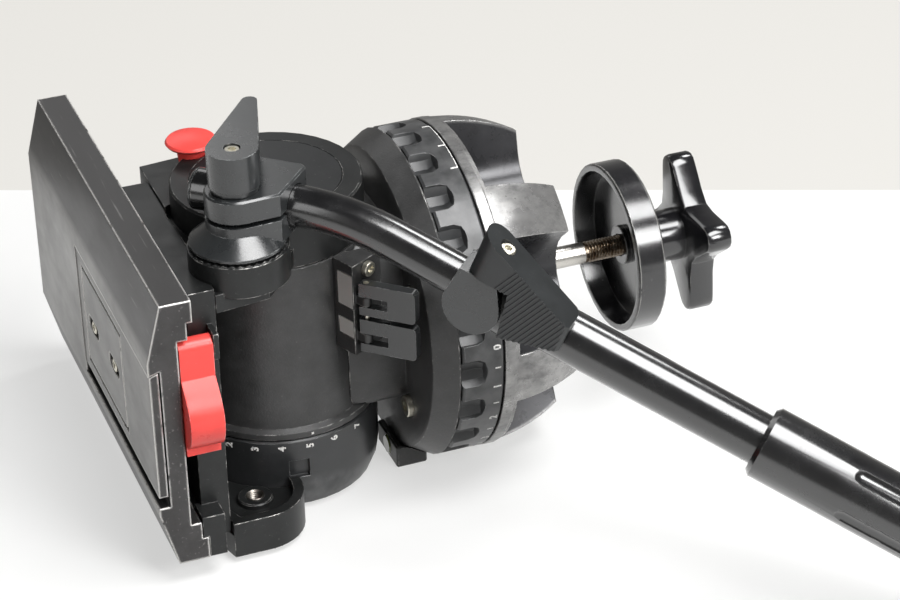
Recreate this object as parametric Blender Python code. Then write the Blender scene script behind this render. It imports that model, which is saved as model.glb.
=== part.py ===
"""Fluid video head with a half-ball base, a tie-down and a telescopic pan bar.

The head is modelled as it lies on a table: the tilt axis stands upright (+Z) through the
drum, the pan axis lies along +X from the camera platform towards the half ball, and the
platform's long side runs along +Y. Metres, with every size named in millimetres below.
"""
import math

import bmesh
import bpy
from mathutils import Matrix, Vector

for item in list(bpy.data.objects):
    bpy.data.objects.remove(item, do_unlink=True)

MM = 0.001
DEGREE = math.pi / 180.0
TURN = 2.0 * math.pi

# Clearances and edges that many pieces share
GAP = 0.3 * MM
RUNNING_GAP = 0.5 * MM
OVERRUN = 2.0 * MM
EDGE = 0.8 * MM
SOFT_EDGE = 2.0 * MM

# Half ball and pan base, turned about the pan axis; stations are measured from the tilt axis
BALL_RADIUS = 75.0 * MM
BALL_CENTRE = 82.5 * MM
BALL_END = 121.5 * MM
BALL_WALL = 8.0 * MM
BALL_HOLLOW_DEPTH = 24.0 * MM
LOBE_COUNT = 6
LOBE_ANGLE = 51.4 * DEGREE
LOBE_WIDTH = 20.0 * DEGREE
LOBE_ROOT_RADIUS = 37.3 * MM
LOBE_START = 87.5 * MM
FLANGE_RADIUS = 75.4 * MM
FLANGE_START = 80.7 * MM
FLANGE_END = 86.0 * MM
REST_HEIGHT = 75.4 * MM
HUB_RADIUS = 61.5 * MM
STUD_BOSS_RADIUS = 16.0 * MM
STUD_BOSS_SHORT = 6.0 * MM
STUD_RADIUS = 5.0 * MM
STUD_END = 187.0 * MM
STUD_THREAD_START = 148.0 * MM
STUD_THREAD_DEPTH = 0.35 * MM
PAN_AXLE_RADIUS = 20.0 * MM
PAN_AXLE_START = 36.0 * MM
PAN_BEARING_RADIUS = 27.0 * MM
PAN_BEARING_WIDTH = 9.0 * MM

# Pan drag ring with its finger pockets
PAN_RING_START = 60.8 * MM
PAN_RING_END = 80.3 * MM
PAN_RING_RADIUS = 75.0 * MM
PAN_RING_EDGE = 1.0 * MM
PAN_POCKET_COUNT = 23
PAN_POCKET_ANGLE = -1.9 * DEGREE
PAN_POCKET_RADIUS = 7.2 * MM
PAN_POCKET_DEPTH = 5.0 * MM
PAN_POCKET_LENGTH = 11.5 * MM

# Pan housing: the disc, and the saddle that carries the drum
DISC_START = 48.6 * MM
DISC_END = 60.5 * MM
DISC_FACE_RADIUS = 69.0 * MM
DISC_RADIUS = 75.0 * MM
SADDLE_START = 8.0 * MM
SADDLE_HALF_WIDTH = 36.0 * MM
SADDLE_TOP = 47.6 * MM
SADDLE_BOTTOM = 36.0 * MM
SADDLE_ROUND = 10.0 * MM
DISC_SCREW_RADIUS = 52.7 * MM
DISC_SCREW_ANGLES = (-41.0 * DEGREE, 28.0 * DEGREE, 152.0 * DEGREE, 221.0 * DEGREE)
DISC_SCREW_HEAD = 5.0 * MM
DISC_SCREW_HEIGHT = 5.5 * MM
DISC_SCREW_SINK = 3.0 * MM

# Tilt drum, turned about the tilt axis; heights are measured from the pan axis
DRUM_RADIUS = 42.0 * MM
DRUM_TOP = 48.3 * MM
DRUM_BAND_RADIUS = DRUM_RADIUS + 2.3 * MM
DRUM_BAND_TOP = -32.5 * MM
DRUM_BAND_BOTTOM = -36.9 * MM
DRUM_CORE_RADIUS = DRUM_RADIUS - 12.0 * MM
DRUM_CORE_BOTTOM = -72.6 * MM
TILT_AXLE_RADIUS = 12.0 * MM
TILT_BEARING_RADIUS = 19.0 * MM
TILT_BEARING_WIDTH = 8.0 * MM

# Tilt drag ring under the drum
TILT_RING_RADIUS = DRUM_BAND_RADIUS
TILT_RING_BOTTOM = -72.8 * MM
TILT_RING_FOOT_RADIUS = TILT_RING_RADIUS - 3.3 * MM
TILT_RING_FOOT_HEIGHT = 6.0 * MM
TILT_NOTCH_COUNT = 5
TILT_NOTCH_ANGLE = -96.7 * DEGREE
TILT_NOTCH_WIDTH = 9.0 * MM
TILT_NOTCH_DEPTH = 2.5 * MM
TILT_NOTCH_HEIGHT = 9.0 * MM
TILT_NOTCH_DROP = 10.5 * MM

# Brake lever block on the drum's side and its two levers
BLOCK_ANGLE = -67.4 * DEGREE
BLOCK_REACH = DRUM_RADIUS + 12.5 * MM
BLOCK_WIDTH = 18.0 * MM
BLOCK_LEAN = 2.3 * MM
BLOCK_TOP = 48.0 * MM
BLOCK_BOTTOM = 4.0 * MM
BLOCK_SCREW_HEAD = 3.4 * MM
BLOCK_SCREW_HEIGHT = 2.4 * MM
BLOCK_SCREW_ACROSS = 8.8 * MM
BLOCK_SCREW_DROP = 4.1 * MM
CLIP_WIDTH = 9.0 * MM
CLIP_THICKNESS = 1.2 * MM
CLIP_STANDOFF = 0.7 * MM
CLIP_POCKET = 1.4 * MM
UPPER_CLIP_SPAN = (27.0 * MM, 43.0 * MM)
LOWER_CLIP_SPAN = (12.5 * MM, 20.5 * MM)
BRAKE_HEADING = -43.0 * DEGREE
BRAKE_LENGTH = 26.0 * MM
BRAKE_THICKNESS = 4.5 * MM
BRAKE_SLOT = 5.0 * MM
BRAKE_SLOT_LENGTH = 13.0 * MM
BRAKE_PRONG = 4.0 * MM
BRAKE_HINGE_STAND = 3.8 * MM
BRAKE_HINGE_ACROSS = 4.1 * MM
BRAKE_LUG_RADIUS = 2.4 * MM
UPPER_BRAKE_SPAN = (25.2 * MM, 40.6 * MM)
LOWER_BRAKE_SPAN = (7.1 * MM, 22.9 * MM)
BRAKE_PIN_RADIUS = 1.2 * MM
BRAKE_PIN_INSET = 2.6 * MM

# Spirit level on the pan housing's rim
LEVEL_START = 45.6 * MM
LEVEL_SPAN = (-28.0 * MM, -2.0 * MM)
LEVEL_TOP = -64.0 * MM
LEVEL_BOTTOM = -75.0 * MM
VIAL_RADIUS = 4.6 * MM
VIAL_DEPTH = 2.6 * MM
VIAL_STAND = 0.6 * MM

# Tilt head: the bed behind the platform and the two arms that hold the tilt axle
BED_BACK = -(DRUM_RADIUS + 2.0 * MM)
BED_FRONT = BED_BACK - 12.5 * MM
BED_NEAR = -66.0 * MM
BED_FAR = 34.6 * MM
BED_HALF_HEIGHT = 60.6 * MM
RAIL_FRONT = BED_BACK - 14.9 * MM
RAIL_BACK = BED_BACK - 5.0 * MM
RAIL_NEAR = -76.0 * MM
RAIL_TOP = -43.4 * MM
RAIL_BOTTOM = -63.6 * MM
TONGUE_SPAN = (46.6 * MM, 53.2 * MM)
WEB_BOTTOM = 49.0 * MM
WEB_TOP = 57.5 * MM
CHEEK_RADIUS = DRUM_RADIUS
CHEEK_TOP = 71.5 * MM
CAP_RADIUS = CHEEK_RADIUS - 9.0 * MM
CAP_THICKNESS = 2.0 * MM
EAR_X = -27.5 * MM
EAR_Y = -(TILT_RING_RADIUS + 3.7 * MM)
EAR_RADIUS = 21.5 * MM
EAR_FACE = 69.2 * MM
UPPER_EAR_BOTTOM = 55.0 * MM
LOWER_EAR_FACE = -72.2 * MM
LOWER_EAR_TOP = -55.0 * MM
EAR_FLOOR = -60.0 * MM
EAR_WALL = 4.5 * MM
EAR_BORE = 4.2 * MM
ARM_FACE_NEAR = EAR_Y - 18.0 * MM
ARM_CORNER = (-19.5 * MM, -63.0 * MM)
ARM_SHOULDER = (-6.5 * MM, -46.0 * MM)
BUTTON_SEAT = 61.6 * MM
BUTTON_BOSS_NEAR = 8.0 * MM
BUTTON_STEM_END = 52.5 * MM
BUTTON_BORE_END = 50.4 * MM
TOOTH_COUNT = 36
TOOTH_HEIGHT = 0.8 * MM
TOOTH_LENGTH = 5.0 * MM
FOOT_RADIUS = 34.0 * MM
FOOT_TOP = -73.3 * MM
FOOT_ARM_HALF_WIDTH = 18.0 * MM
FOOT_RISER_BACK = BED_BACK - 2.3 * MM

# Safety button on the far web
BUTTON_X = -23.0 * MM
BUTTON_Y = 34.6 * MM
BUTTON_BOSS_RADIUS = 15.4 * MM
BUTTON_RADIUS = 11.5 * MM
BUTTON_TOP = 79.3 * MM
BUTTON_CROWN = 1.6 * MM
BUTTON_RIM = 2.2 * MM
BUTTON_UNDERCUT = 1.6 * MM
BUTTON_STEM_RADIUS = 5.6 * MM
BUTTON_STEM_FLARE = 1.2 * MM
BUTTON_TRAVEL = 2.2 * MM

# Camera platform and what slides in it
PLATFORM_NEAR = -76.0 * MM
PLATFORM_FAR = 126.0 * MM
PLATFORM_FACE = BED_BACK - 33.2 * MM
PLATFORM_RIDGE = BED_BACK - 26.3 * MM
PLATFORM_BACK = BED_BACK - 12.8 * MM
PLATFORM_HALF_HEIGHT = 63.8 * MM
FACE_HALF_HEIGHT = 37.5 * MM
STEP_ONE = 53.5 * MM
STEP_ONE_DEPTH = 2.6 * MM
STEP_TWO = 45.5 * MM
STEP_TWO_DEPTH = 7.1 * MM
CHANNEL_TOP = 31.6 * MM
CHANNEL_BOTTOM = -34.0 * MM
CHANNEL_FLOOR = PLATFORM_FACE + 5.1 * MM
CHANNEL_UNDERCUT = 1.6 * MM
PLATE_BOTTOM = -28.4 * MM
PLATE_FAR = 43.0 * MM
PLATE_BACK_GAP = 0.8 * MM
PLATE_SET_BACK = 0.4 * MM
POCKET_SPAN = (-30.0 * MM, 36.0 * MM)
POCKET_HALF_HEIGHT = 25.0 * MM
POCKET_CENTRE = 1.3 * MM
POCKET_DEPTH = 2.9 * MM
CAMERA_PLATE_GAP = 2.0 * MM
SLOT_CENTRES = (21.0 * MM, -13.0 * MM)
SLOT_LENGTH = 17.0 * MM
SLOT_WIDTH = 6.8 * MM
CAMERA_SCREW_RADIUS = 3.1 * MM
CAMERA_SCREW_LENGTH = 3.6 * MM

# Red clamp lever at the platform's near end
LEVER_FRONT = BED_BACK - 19.4 * MM
LEVER_BACK = BED_BACK - 4.6 * MM
LEVER_PIVOT_Y = -71.2 * MM
LEVER_PIVOT_Z = 39.0 * MM
LEVER_TOP_RADIUS = 4.5 * MM
LEVER_STRIP_Y = -75.7 * MM
LEVER_CREASE_Z = 26.0 * MM
LEVER_BULGE_Y = -86.4 * MM
LEVER_BULGE_Z = 9.0 * MM
LEVER_FOOT_Z = -5.6 * MM
LEVER_FOOT_Y = -76.6 * MM
LEVER_LIP_Y = -76.6 * MM
LEVER_LIP_Z = -10.5 * MM
LEVER_BACK_Y = -71.5 * MM
LEVER_PIN_RADIUS = 2.4 * MM
LUG_NEAR = -75.4 * MM
LUG_HALF_HEIGHT = 6.0 * MM

# Pan bar: its clamp on the rosette, heights measured from the pan axis
BAR_HEADING = -42.2 * DEGREE
BAR_DROP = 21.8 * DEGREE
BAR_OFFSET = 16.0 * MM
BAR_HEIGHT = 82.8 * MM
BAR_BACK_REACH = 24.5 * MM
BAR_CORNER = 42.1 * MM
BAR_BEND_RADIUS = 115.0 * MM
BAR_BEND_STEPS = 6
INNER_TUBE_RADIUS = 9.0 * MM
INNER_TUBE_WALL = 1.6 * MM
INNER_TUBE_END = 235.0 * MM
PLUG_LENGTH = 8.0 * MM
PLUG_FLANGE = 1.6 * MM
JAW_RADIUS = 20.6 * MM
JAW_RIM = 1.2 * MM
JAW_NECK_RADIUS = 13.0 * MM
JAW_NECK_HEIGHT = 79.5 * MM
JAW_TOP = 83.0 * MM
JAW_WEB_BOTTOM = 72.2 * MM
CLAMP_BOTTOM = 84.4 * MM
CLAMP_TOP = 95.3 * MM
CLAMP_RIGHT = 19.8 * MM
CLAMP_LEFT = 12.0 * MM
CLAMP_NEAR = 1.5 * MM
CLAMP_FAR = 29.5 * MM
BOLT_RADIUS = 4.0 * MM
KNOB_RADIUS = 11.0 * MM
KNOB_TOP = 114.3 * MM
WING_BOTTOM = 98.0 * MM
WING_TIP_BOTTOM = 105.5 * MM
WING_LENGTH = 43.0 * MM
WING_TIP_RADIUS = 3.4 * MM
WING_HEADING = 63.0 * DEGREE
WING_SCREW_RADIUS = 3.4 * MM
WING_SCREW_HEIGHT = 3.0 * MM
WING_SCREW_SINK = 0.6 * MM

# Sliding half of the bar, measured along the dropped bar from the corner of its bend
LOCK_START = 55.5 * MM
LOCK_END = 84.0 * MM
LOCK_RADIUS = 14.0 * MM
LOCK_BOSS_AT = 65.5 * MM
LOCK_BOSS_RADIUS = 12.5 * MM
LOCK_BOSS_FACE = -16.0 * MM
LOCK_SHELF = 15.2 * MM
LOCK_SHELF_END = 72.0 * MM
OUTER_TUBE_RADIUS = 11.0 * MM
OUTER_TUBE_START = 76.0 * MM
GRIP_START = 194.0 * MM
GRIP_LENGTH = 135.0 * MM
GRIP_RADIUS = 15.5 * MM
GRIP_END_ROUND = 4.0 * MM
GRIP_END_WALL = 6.0 * MM
FLUTE_COUNT = 5
FLUTE_ANGLE = 59.5 * DEGREE
FLUTE_START = 38.0 * MM
FLUTE_LENGTH = 74.0 * MM
FLUTE_RADIUS = 5.0 * MM
FLUTE_DEPTH = 1.8 * MM

# Telescope lever, measured from its own pivot
PADDLE_PIVOT_AT = 69.0 * MM
PADDLE_PIVOT_SIDE = -10.3 * MM
PADDLE_HALF_WIDTH = 8.0 * MM
PADDLE_HEEL = -10.8 * MM
PADDLE_TIP = 36.7 * MM
PADDLE_HEEL_TOP = 36.5 * MM
PADDLE_TIP_TOP = 15.0 * MM
PADDLE_TIP_BOTTOM = 3.4 * MM
PADDLE_BELLY_AT = 11.5 * MM
PADDLE_BELLY_BOTTOM = -5.5 * MM
PADDLE_BELLY_TOP_AT = 8.5 * MM
PADDLE_STUD_RADIUS = 3.0 * MM
PADDLE_STUD_TOP = 28.0 * MM
PADDLE_RIB_COUNT = 20
PADDLE_RIB_DEPTH = 0.6 * MM
PADDLE_RIB_FIRST = -5.5 * MM
PADDLE_SCREW_RADIUS = 3.4 * MM
PADDLE_SCREW_HEIGHT = 3.0 * MM
PADDLE_SCREW_SINK = 0.6 * MM

# Tie-down: cup and star knob on the stud
CUP_FRONT = 159.9 * MM
CUP_BACK = 173.4 * MM
CUP_RADIUS = 39.3 * MM
CUP_WALL = 3.2 * MM
CUP_FLOOR = 4.0 * MM
CUP_BOSS_RADIUS = 9.0 * MM
CUP_BOSS_HEIGHT = 2.5 * MM
STAR_HUB_RADIUS = 12.2 * MM
STAR_START = 195.5 * MM
STAR_END = 208.0 * MM
STAR_RADIUS = 37.0 * MM
STAR_WAIST = 19.0 * MM
STAR_TIP_HALF = 6.5 * MM
STAR_ANGLE = 21.0 * DEGREE
STAR_TIP_SWEEP = 80.0 * DEGREE
STAR_WAIST_SWEEP = 17.0 * DEGREE
STAR_WAIST_FLARE = 3.0 * MM
TIE_DOWN_TRAVEL = 14.0 * MM

# How finely round pieces are cut
BALL_STEPS = 48
BALL_ARC_STEPS = 8
BAY_STEPS = 8
FINE_STEPS = 36
ROUND_STEPS = 20
SMALL_STEPS = 12


def material(name, colour, roughness, metallic=0.0):
    """A plain surface finish with the piece's own colour."""
    finish = bpy.data.materials.new(name)
    finish.use_nodes = True
    shader = finish.node_tree.nodes["Principled BSDF"]
    shader.inputs["Base Color"].default_value = (*colour, 1.0)
    shader.inputs["Roughness"].default_value = roughness
    shader.inputs["Metallic"].default_value = metallic
    finish.diffuse_color = (*colour, 1.0)
    return finish


BLACK_ANODISED = material("black_anodised", (0.022, 0.022, 0.024), 0.45, 0.4)
BLACK_PLASTIC = material("black_plastic", (0.03, 0.032, 0.033), 0.5)
GLOSS_BLACK = material("gloss_black", (0.012, 0.012, 0.014), 0.2)
RED_PLASTIC = material("red_plastic", (0.75, 0.07, 0.07), 0.4)
STEEL = material("bright_steel", (0.62, 0.61, 0.58), 0.25, 1.0)
BRONZE = material("bearing_bronze", (0.55, 0.36, 0.16), 0.35, 1.0)
GLASS = material("level_glass", (0.55, 0.72, 0.30), 0.1)


def frame(name, origin, x_axis, z_axis, parent=None):
    """An empty that carries a group of pieces and gives them their directions."""
    x_unit = Vector(x_axis).normalized()
    z_unit = Vector(z_axis)
    z_unit = (z_unit - x_unit * z_unit.dot(x_unit)).normalized()
    y_unit = z_unit.cross(x_unit)
    turn = Matrix((x_unit, y_unit, z_unit)).transposed().to_4x4()
    empty = bpy.data.objects.new(name, None)
    bpy.context.scene.collection.objects.link(empty)
    empty.parent = parent
    empty.matrix_local = Matrix.Translation(Vector(origin)) @ turn
    return empty


def add(name, shape, finish, parent, smooth=True):
    """One named piece from a bmesh, in its carrier's directions."""
    bmesh.ops.recalc_face_normals(shape, faces=shape.faces[:])
    mesh = bpy.data.meshes.new(name)
    shape.to_mesh(mesh)
    shape.free()
    if smooth:
        mesh.shade_smooth()
        mesh.set_sharp_from_angle(angle=35.0 * DEGREE)
    piece = bpy.data.objects.new(name, mesh)
    bpy.context.scene.collection.objects.link(piece)
    piece.parent = parent
    if finish:
        mesh.materials.append(finish)
    return piece


def tool(name, shape, parent):
    """A cutter, which shapes a piece and isn't one itself."""
    cutter = add(name, shape, None, parent, smooth=False)
    cutter.hide_render = True
    cutter.display_type = "WIRE"
    return cutter


def combine(piece, other, operation):
    step = piece.modifiers.new(other.name, "BOOLEAN")
    step.operation = operation
    step.solver = "EXACT"
    step.object = other
    return piece


def cut(piece, *cutters):
    for cutter in cutters:
        combine(piece, cutter, "DIFFERENCE")
    return piece


def join(piece, *others):
    for other in others:
        combine(piece, other, "UNION")
    return piece


def soften(piece, width, angle=40.0 * DEGREE, segments=1):
    """Breaks the sharp edges of a piece."""
    step = piece.modifiers.new("broken_edges", "BEVEL")
    step.width = width
    step.segments = segments
    step.limit_method = "ANGLE"
    step.angle_limit = angle
    return piece


PLANES = {
    "xy": lambda a, b, h: (a, b, h),
    "xz": lambda a, b, h: (a, h, b),
    "yz": lambda a, b, h: (h, a, b),
}


def prism(outline, low, high, plane="xy"):
    """A straight solid on a closed outline, from low to high across its plane."""
    shape = bmesh.new()
    place = PLANES[plane]
    bottom = [shape.verts.new(place(a, b, low)) for a, b in outline]
    top = [shape.verts.new(place(a, b, high)) for a, b in outline]
    shape.faces.new(bottom)
    shape.faces.new(list(reversed(top)))
    for index in range(len(outline)):
        after = (index + 1) % len(outline)
        shape.faces.new((bottom[index], top[index], top[after], bottom[after]))
    return shape


def box(x_span, y_span, z_span):
    corners = ((x_span[0], y_span[0]), (x_span[1], y_span[0]),
               (x_span[1], y_span[1]), (x_span[0], y_span[1]))
    return prism(corners, *z_span)


def turned(profile, steps, axis="z", start=0.0, sweep=TURN):
    """A solid turned from a closed (radius, station) outline, whole or as a sector."""
    shape = bmesh.new()
    whole = abs(sweep - TURN) < DEGREE
    count = steps if whole else steps + 1
    rings = []
    poles = {}
    for index in range(count):
        angle = start + sweep * index / steps
        ring = []
        for number, (radius, station) in enumerate(profile):
            if radius < GAP * GAP:
                if number not in poles:
                    poles[number] = shape.verts.new(on_axis(0.0, 0.0, station, axis))
                ring.append(poles[number])
            else:
                ring.append(shape.verts.new(on_axis(radius, angle, station, axis)))
        rings.append(ring)
    for index in range(steps):
        ring = rings[index]
        following = rings[(index + 1) % count]
        for number in range(len(profile)):
            after = (number + 1) % len(profile)
            corners = [ring[number], following[number], following[after], ring[after]]
            unique = list(dict.fromkeys(corners))
            if len(unique) > 2:
                shape.faces.new(unique)
    if not whole:
        shape.faces.new(rings[0])
        shape.faces.new(list(reversed(rings[-1])))
    return shape


def on_axis(radius, angle, station, axis):
    """A point round the named axis; round x the angle starts at -Y and climbs to +Z."""
    along = radius * math.cos(angle)
    across = radius * math.sin(angle)
    if axis == "x":
        return (station, -along, across)
    return (along, across, station)


def rod(radius, low, high, axis="z", centre=(0.0, 0.0), steps=SMALL_STEPS, edge=0.0):
    """A plain or chamfered round bar."""
    profile = [(0.0, low), (radius - edge, low), (radius, low + edge),
               (radius, high - edge), (radius - edge, high), (0.0, high)]
    if edge == 0.0:
        profile = [(0.0, low), (radius, low), (radius, high), (0.0, high)]
    shape = turned(profile, steps, axis)
    shift = (centre[0], centre[1], 0.0) if axis == "z" else (0.0, centre[0], centre[1])
    bmesh.ops.translate(shape, verts=shape.verts[:], vec=shift)
    return shape


def arc(centre, radius, start, end, steps):
    return [(centre[0] + radius * math.cos(start + (end - start) * index / steps),
             centre[1] + radius * math.sin(start + (end - start) * index / steps))
            for index in range(steps + 1)]


def hull(points):
    """The tight outline round a set of points, counter-clockwise."""
    ordered = sorted(set(points))

    def half(sequence):
        chain = []
        for point in sequence:
            while len(chain) > 1 and turn_of(chain[-2], chain[-1], point) <= 0.0:
                chain.pop()
            chain.append(point)
        return chain[:-1]

    return half(ordered) + half(list(reversed(ordered)))


def turn_of(first, second, third):
    return ((second[0] - first[0]) * (third[1] - first[1])
            - (second[1] - first[1]) * (third[0] - first[0]))


def disc_points(centre, radius, steps=ROUND_STEPS):
    return arc(centre, radius, 0.0, TURN * (1.0 - 1.0 / steps), steps - 1)


def slot_outline(centre, length, width, steps=8):
    """A slot along the outline's first direction, with round ends."""
    reach = (length - width) / 2.0
    right = arc((centre[0] + reach, centre[1]), width / 2.0, -math.pi / 2.0, math.pi / 2.0, steps)
    left = arc((centre[0] - reach, centre[1]), width / 2.0, math.pi / 2.0, 1.5 * math.pi, steps)
    return right + left


def socket_screw(name, radius, height, parent, finish=STEEL, axis="z", base=0.0):
    """A cap screw's head with its key socket."""
    socket = radius * SOCKET_SHARE
    profile = [(0.0, base), (radius, base), (radius, base + height - EDGE / 2.0),
               (radius - EDGE / 2.0, base + height), (socket, base + height),
               (socket, base + height * SOCKET_FLOOR_SHARE), (0.0, base + height * SOCKET_FLOOR_SHARE)]
    return add(name, turned(profile, SMALL_STEPS, axis), finish, parent)


SOCKET_SHARE = 0.5
SOCKET_FLOOR_SHARE = 0.4

ground = frame("head_on_table", (0.0, 0.0, 0.0), (1, 0, 0), (0, 0, 1))
axes = frame("axis_crossing", (0.0, 0.0, REST_HEIGHT), (1, 0, 0), (0, 0, 1), ground)


# Half ball with its flange, lobes and stud
def sphere_radius(station, radius):
    return math.sqrt(max(radius * radius - (station - BALL_CENTRE) ** 2, 0.0))


def ball_profile():
    hollow_floor = BALL_END - BALL_HOLLOW_DEPTH
    hollow_radius = LOBE_ROOT_RADIUS - BALL_WALL
    outline = [(STUD_RADIUS + GAP, PAN_RING_START),
               (HUB_RADIUS, PAN_RING_START),
               (HUB_RADIUS, FLANGE_START),
               (FLANGE_RADIUS - GAP, FLANGE_START),
               (FLANGE_RADIUS, FLANGE_START + GAP),
               (FLANGE_RADIUS, FLANGE_END - GAP)]
    for index in range(BALL_ARC_STEPS + 1):
        station = FLANGE_END + (BALL_END - FLANGE_END) * index / BALL_ARC_STEPS
        outline.append((sphere_radius(station, BALL_RADIUS), station))
    outline += [(hollow_radius, BALL_END),
                (hollow_radius, hollow_floor),
                (STUD_BOSS_RADIUS, hollow_floor),
                (STUD_BOSS_RADIUS, BALL_END - STUD_BOSS_SHORT),
                (STUD_RADIUS + GAP, BALL_END - STUD_BOSS_SHORT)]
    return outline


def bay_cutter(middle):
    """The open bay between two lobes: two walls that point at the axis, joined by a round floor."""
    half = (TURN / LOBE_COUNT - LOBE_WIDTH) / 2.0
    reach = LOBE_ROOT_RADIUS / (1.0 - math.sin(half))
    floor_radius = reach * math.sin(half)
    outside = (BALL_RADIUS + OVERRUN) / math.cos(half)
    outline = [on_axis(outside, middle - half, 0.0, "x")[1:],
               on_axis(outside, middle + half, 0.0, "x")[1:]]
    centre = on_axis(reach, middle, 0.0, "x")
    for index in range(BAY_STEPS + 1):
        swing = math.pi / 2.0 + half + (math.pi - 2.0 * half) * index / BAY_STEPS
        rim = on_axis(floor_radius, middle + swing, 0.0, "x")
        outline.append((centre[1] + rim[1], centre[2] + rim[2]))
    return prism(outline, LOBE_START, BALL_END + OVERRUN, "yz")


half_ball = add("half_ball", turned(ball_profile(), BALL_STEPS, "x"), BLACK_ANODISED, axes)
for number in range(LOBE_COUNT):
    middle = LOBE_ANGLE + TURN * (number + 0.5) / LOBE_COUNT
    cut(half_ball, tool(f"ball_bay_{number + 1}", bay_cutter(middle), axes))

stud_profile = [(0.0, PAN_RING_START + EDGE),
                (STUD_RADIUS, PAN_RING_START + EDGE),
                (STUD_RADIUS, STUD_THREAD_START),
                (STUD_RADIUS - STUD_THREAD_DEPTH, STUD_THREAD_START + EDGE),
                (STUD_RADIUS - STUD_THREAD_DEPTH, STUD_END - EDGE),
                (STUD_RADIUS - STUD_THREAD_DEPTH - EDGE, STUD_END),
                (0.0, STUD_END)]
add("tie_down_stud", turned(stud_profile, SMALL_STEPS, "x"), STEEL, axes)

add("pan_axle", rod(PAN_AXLE_RADIUS, PAN_AXLE_START, PAN_RING_START - GAP, "x", steps=ROUND_STEPS, edge=EDGE),
    STEEL, axes)


# Pan drag ring
def ring_profile():
    return [(HUB_RADIUS + GAP, PAN_RING_START + GAP),
            (PAN_RING_RADIUS - PAN_RING_EDGE, PAN_RING_START + GAP),
            (PAN_RING_RADIUS, PAN_RING_START + GAP + PAN_RING_EDGE),
            (PAN_RING_RADIUS, PAN_RING_END - PAN_RING_EDGE),
            (PAN_RING_RADIUS - PAN_RING_EDGE, PAN_RING_END),
            (HUB_RADIUS + GAP, PAN_RING_END)]


def finger_pockets():
    """Round-ended scoops, open towards the housing, all round the ring."""
    shape = bmesh.new()
    centre_radius = PAN_RING_RADIUS - PAN_POCKET_DEPTH + PAN_POCKET_RADIUS
    start = PAN_RING_START - OVERRUN
    end = PAN_RING_START + PAN_POCKET_LENGTH
    nose = PAN_POCKET_RADIUS * NOSE_SHARE
    profile = [(0.0, start), (PAN_POCKET_RADIUS, start), (PAN_POCKET_RADIUS, end - nose),
               (PAN_POCKET_RADIUS * 0.8, end - nose * 0.3), (PAN_POCKET_RADIUS * 0.35, end), (0.0, end)]
    for number in range(PAN_POCKET_COUNT):
        angle = PAN_POCKET_ANGLE + TURN * number / PAN_POCKET_COUNT
        scoop = turned(profile, 10, "x")
        spot = on_axis(centre_radius, angle, 0.0, "x")
        bmesh.ops.translate(scoop, verts=scoop.verts[:], vec=spot)
        merge(shape, scoop)
    return shape


def merge(target, source):
    """Adds the faces of one bmesh to another and frees the first."""
    copies = {vertex: target.verts.new(vertex.co) for vertex in source.verts}
    for face in source.faces:
        target.faces.new([copies[vertex] for vertex in face.verts])
    source.free()
    return target


NOSE_SHARE = 0.55

pan_drag_ring = add("pan_drag_ring", turned(ring_profile(), 3 * PAN_POCKET_COUNT, "x"), BLACK_ANODISED, axes)
cut(pan_drag_ring, tool("finger_pocket_cutters", finger_pockets(), axes))


# Pan housing: a shallow cone-edged disc with the saddle that holds the drum
def housing_profile():
    pocket_start = DISC_END - PAN_BEARING_WIDTH - GAP
    bore = PAN_AXLE_RADIUS + GAP
    return [(bore, DISC_START),
            (DISC_FACE_RADIUS - SOFT_EDGE, DISC_START),
            (DISC_FACE_RADIUS, DISC_START + EDGE),
            (DISC_RADIUS, DISC_END - EDGE),
            (DISC_RADIUS - EDGE, DISC_END),
            (PAN_BEARING_RADIUS + GAP, DISC_END),
            (PAN_BEARING_RADIUS + GAP, pocket_start),
            (bore, pocket_start)]


def saddle_shape():
    outline = []
    corners = ((SADDLE_HALF_WIDTH - SADDLE_ROUND, SADDLE_TOP - SADDLE_ROUND, 0.0),
               (-SADDLE_HALF_WIDTH + SADDLE_ROUND, SADDLE_TOP - SADDLE_ROUND, math.pi / 2.0),
               (-SADDLE_HALF_WIDTH + SADDLE_ROUND, -SADDLE_BOTTOM + SADDLE_ROUND, math.pi),
               (SADDLE_HALF_WIDTH - SADDLE_ROUND, -SADDLE_BOTTOM + SADDLE_ROUND, 1.5 * math.pi))
    for y, z, start in corners:
        outline += arc((y, z), SADDLE_ROUND, start, start + math.pi / 2.0, 6)
    return prism(outline, SADDLE_START, DISC_START + OVERRUN, "yz")


pan_housing = add("pan_housing", turned(housing_profile(), BALL_STEPS, "x"), BLACK_ANODISED, axes)
join(pan_housing, tool("saddle_block", saddle_shape(), axes))
cheek_sweep = CHEEK_RADIUS + 2.0 * RUNNING_GAP
ring_sweep = TILT_RING_RADIUS + 2.0 * RUNNING_GAP
cut(pan_housing,
    tool("drum_seat", rod(DRUM_RADIUS + GAP, DRUM_BAND_BOTTOM - OVERRUN, DRUM_TOP + OVERRUN, steps=FINE_STEPS), axes),
    tool("cheek_clearance", rod(cheek_sweep, DRUM_TOP + GAP / 2.0, CHEEK_TOP + OVERRUN, steps=FINE_STEPS), axes),
    tool("ring_clearance", rod(ring_sweep, TILT_RING_BOTTOM - OVERRUN, DRUM_BAND_TOP + EDGE + GAP, steps=FINE_STEPS),
         axes),
    tool("axle_bore", rod(PAN_AXLE_RADIUS + GAP, PAN_AXLE_START - OVERRUN, DISC_END, "x", steps=ROUND_STEPS), axes))

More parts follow.
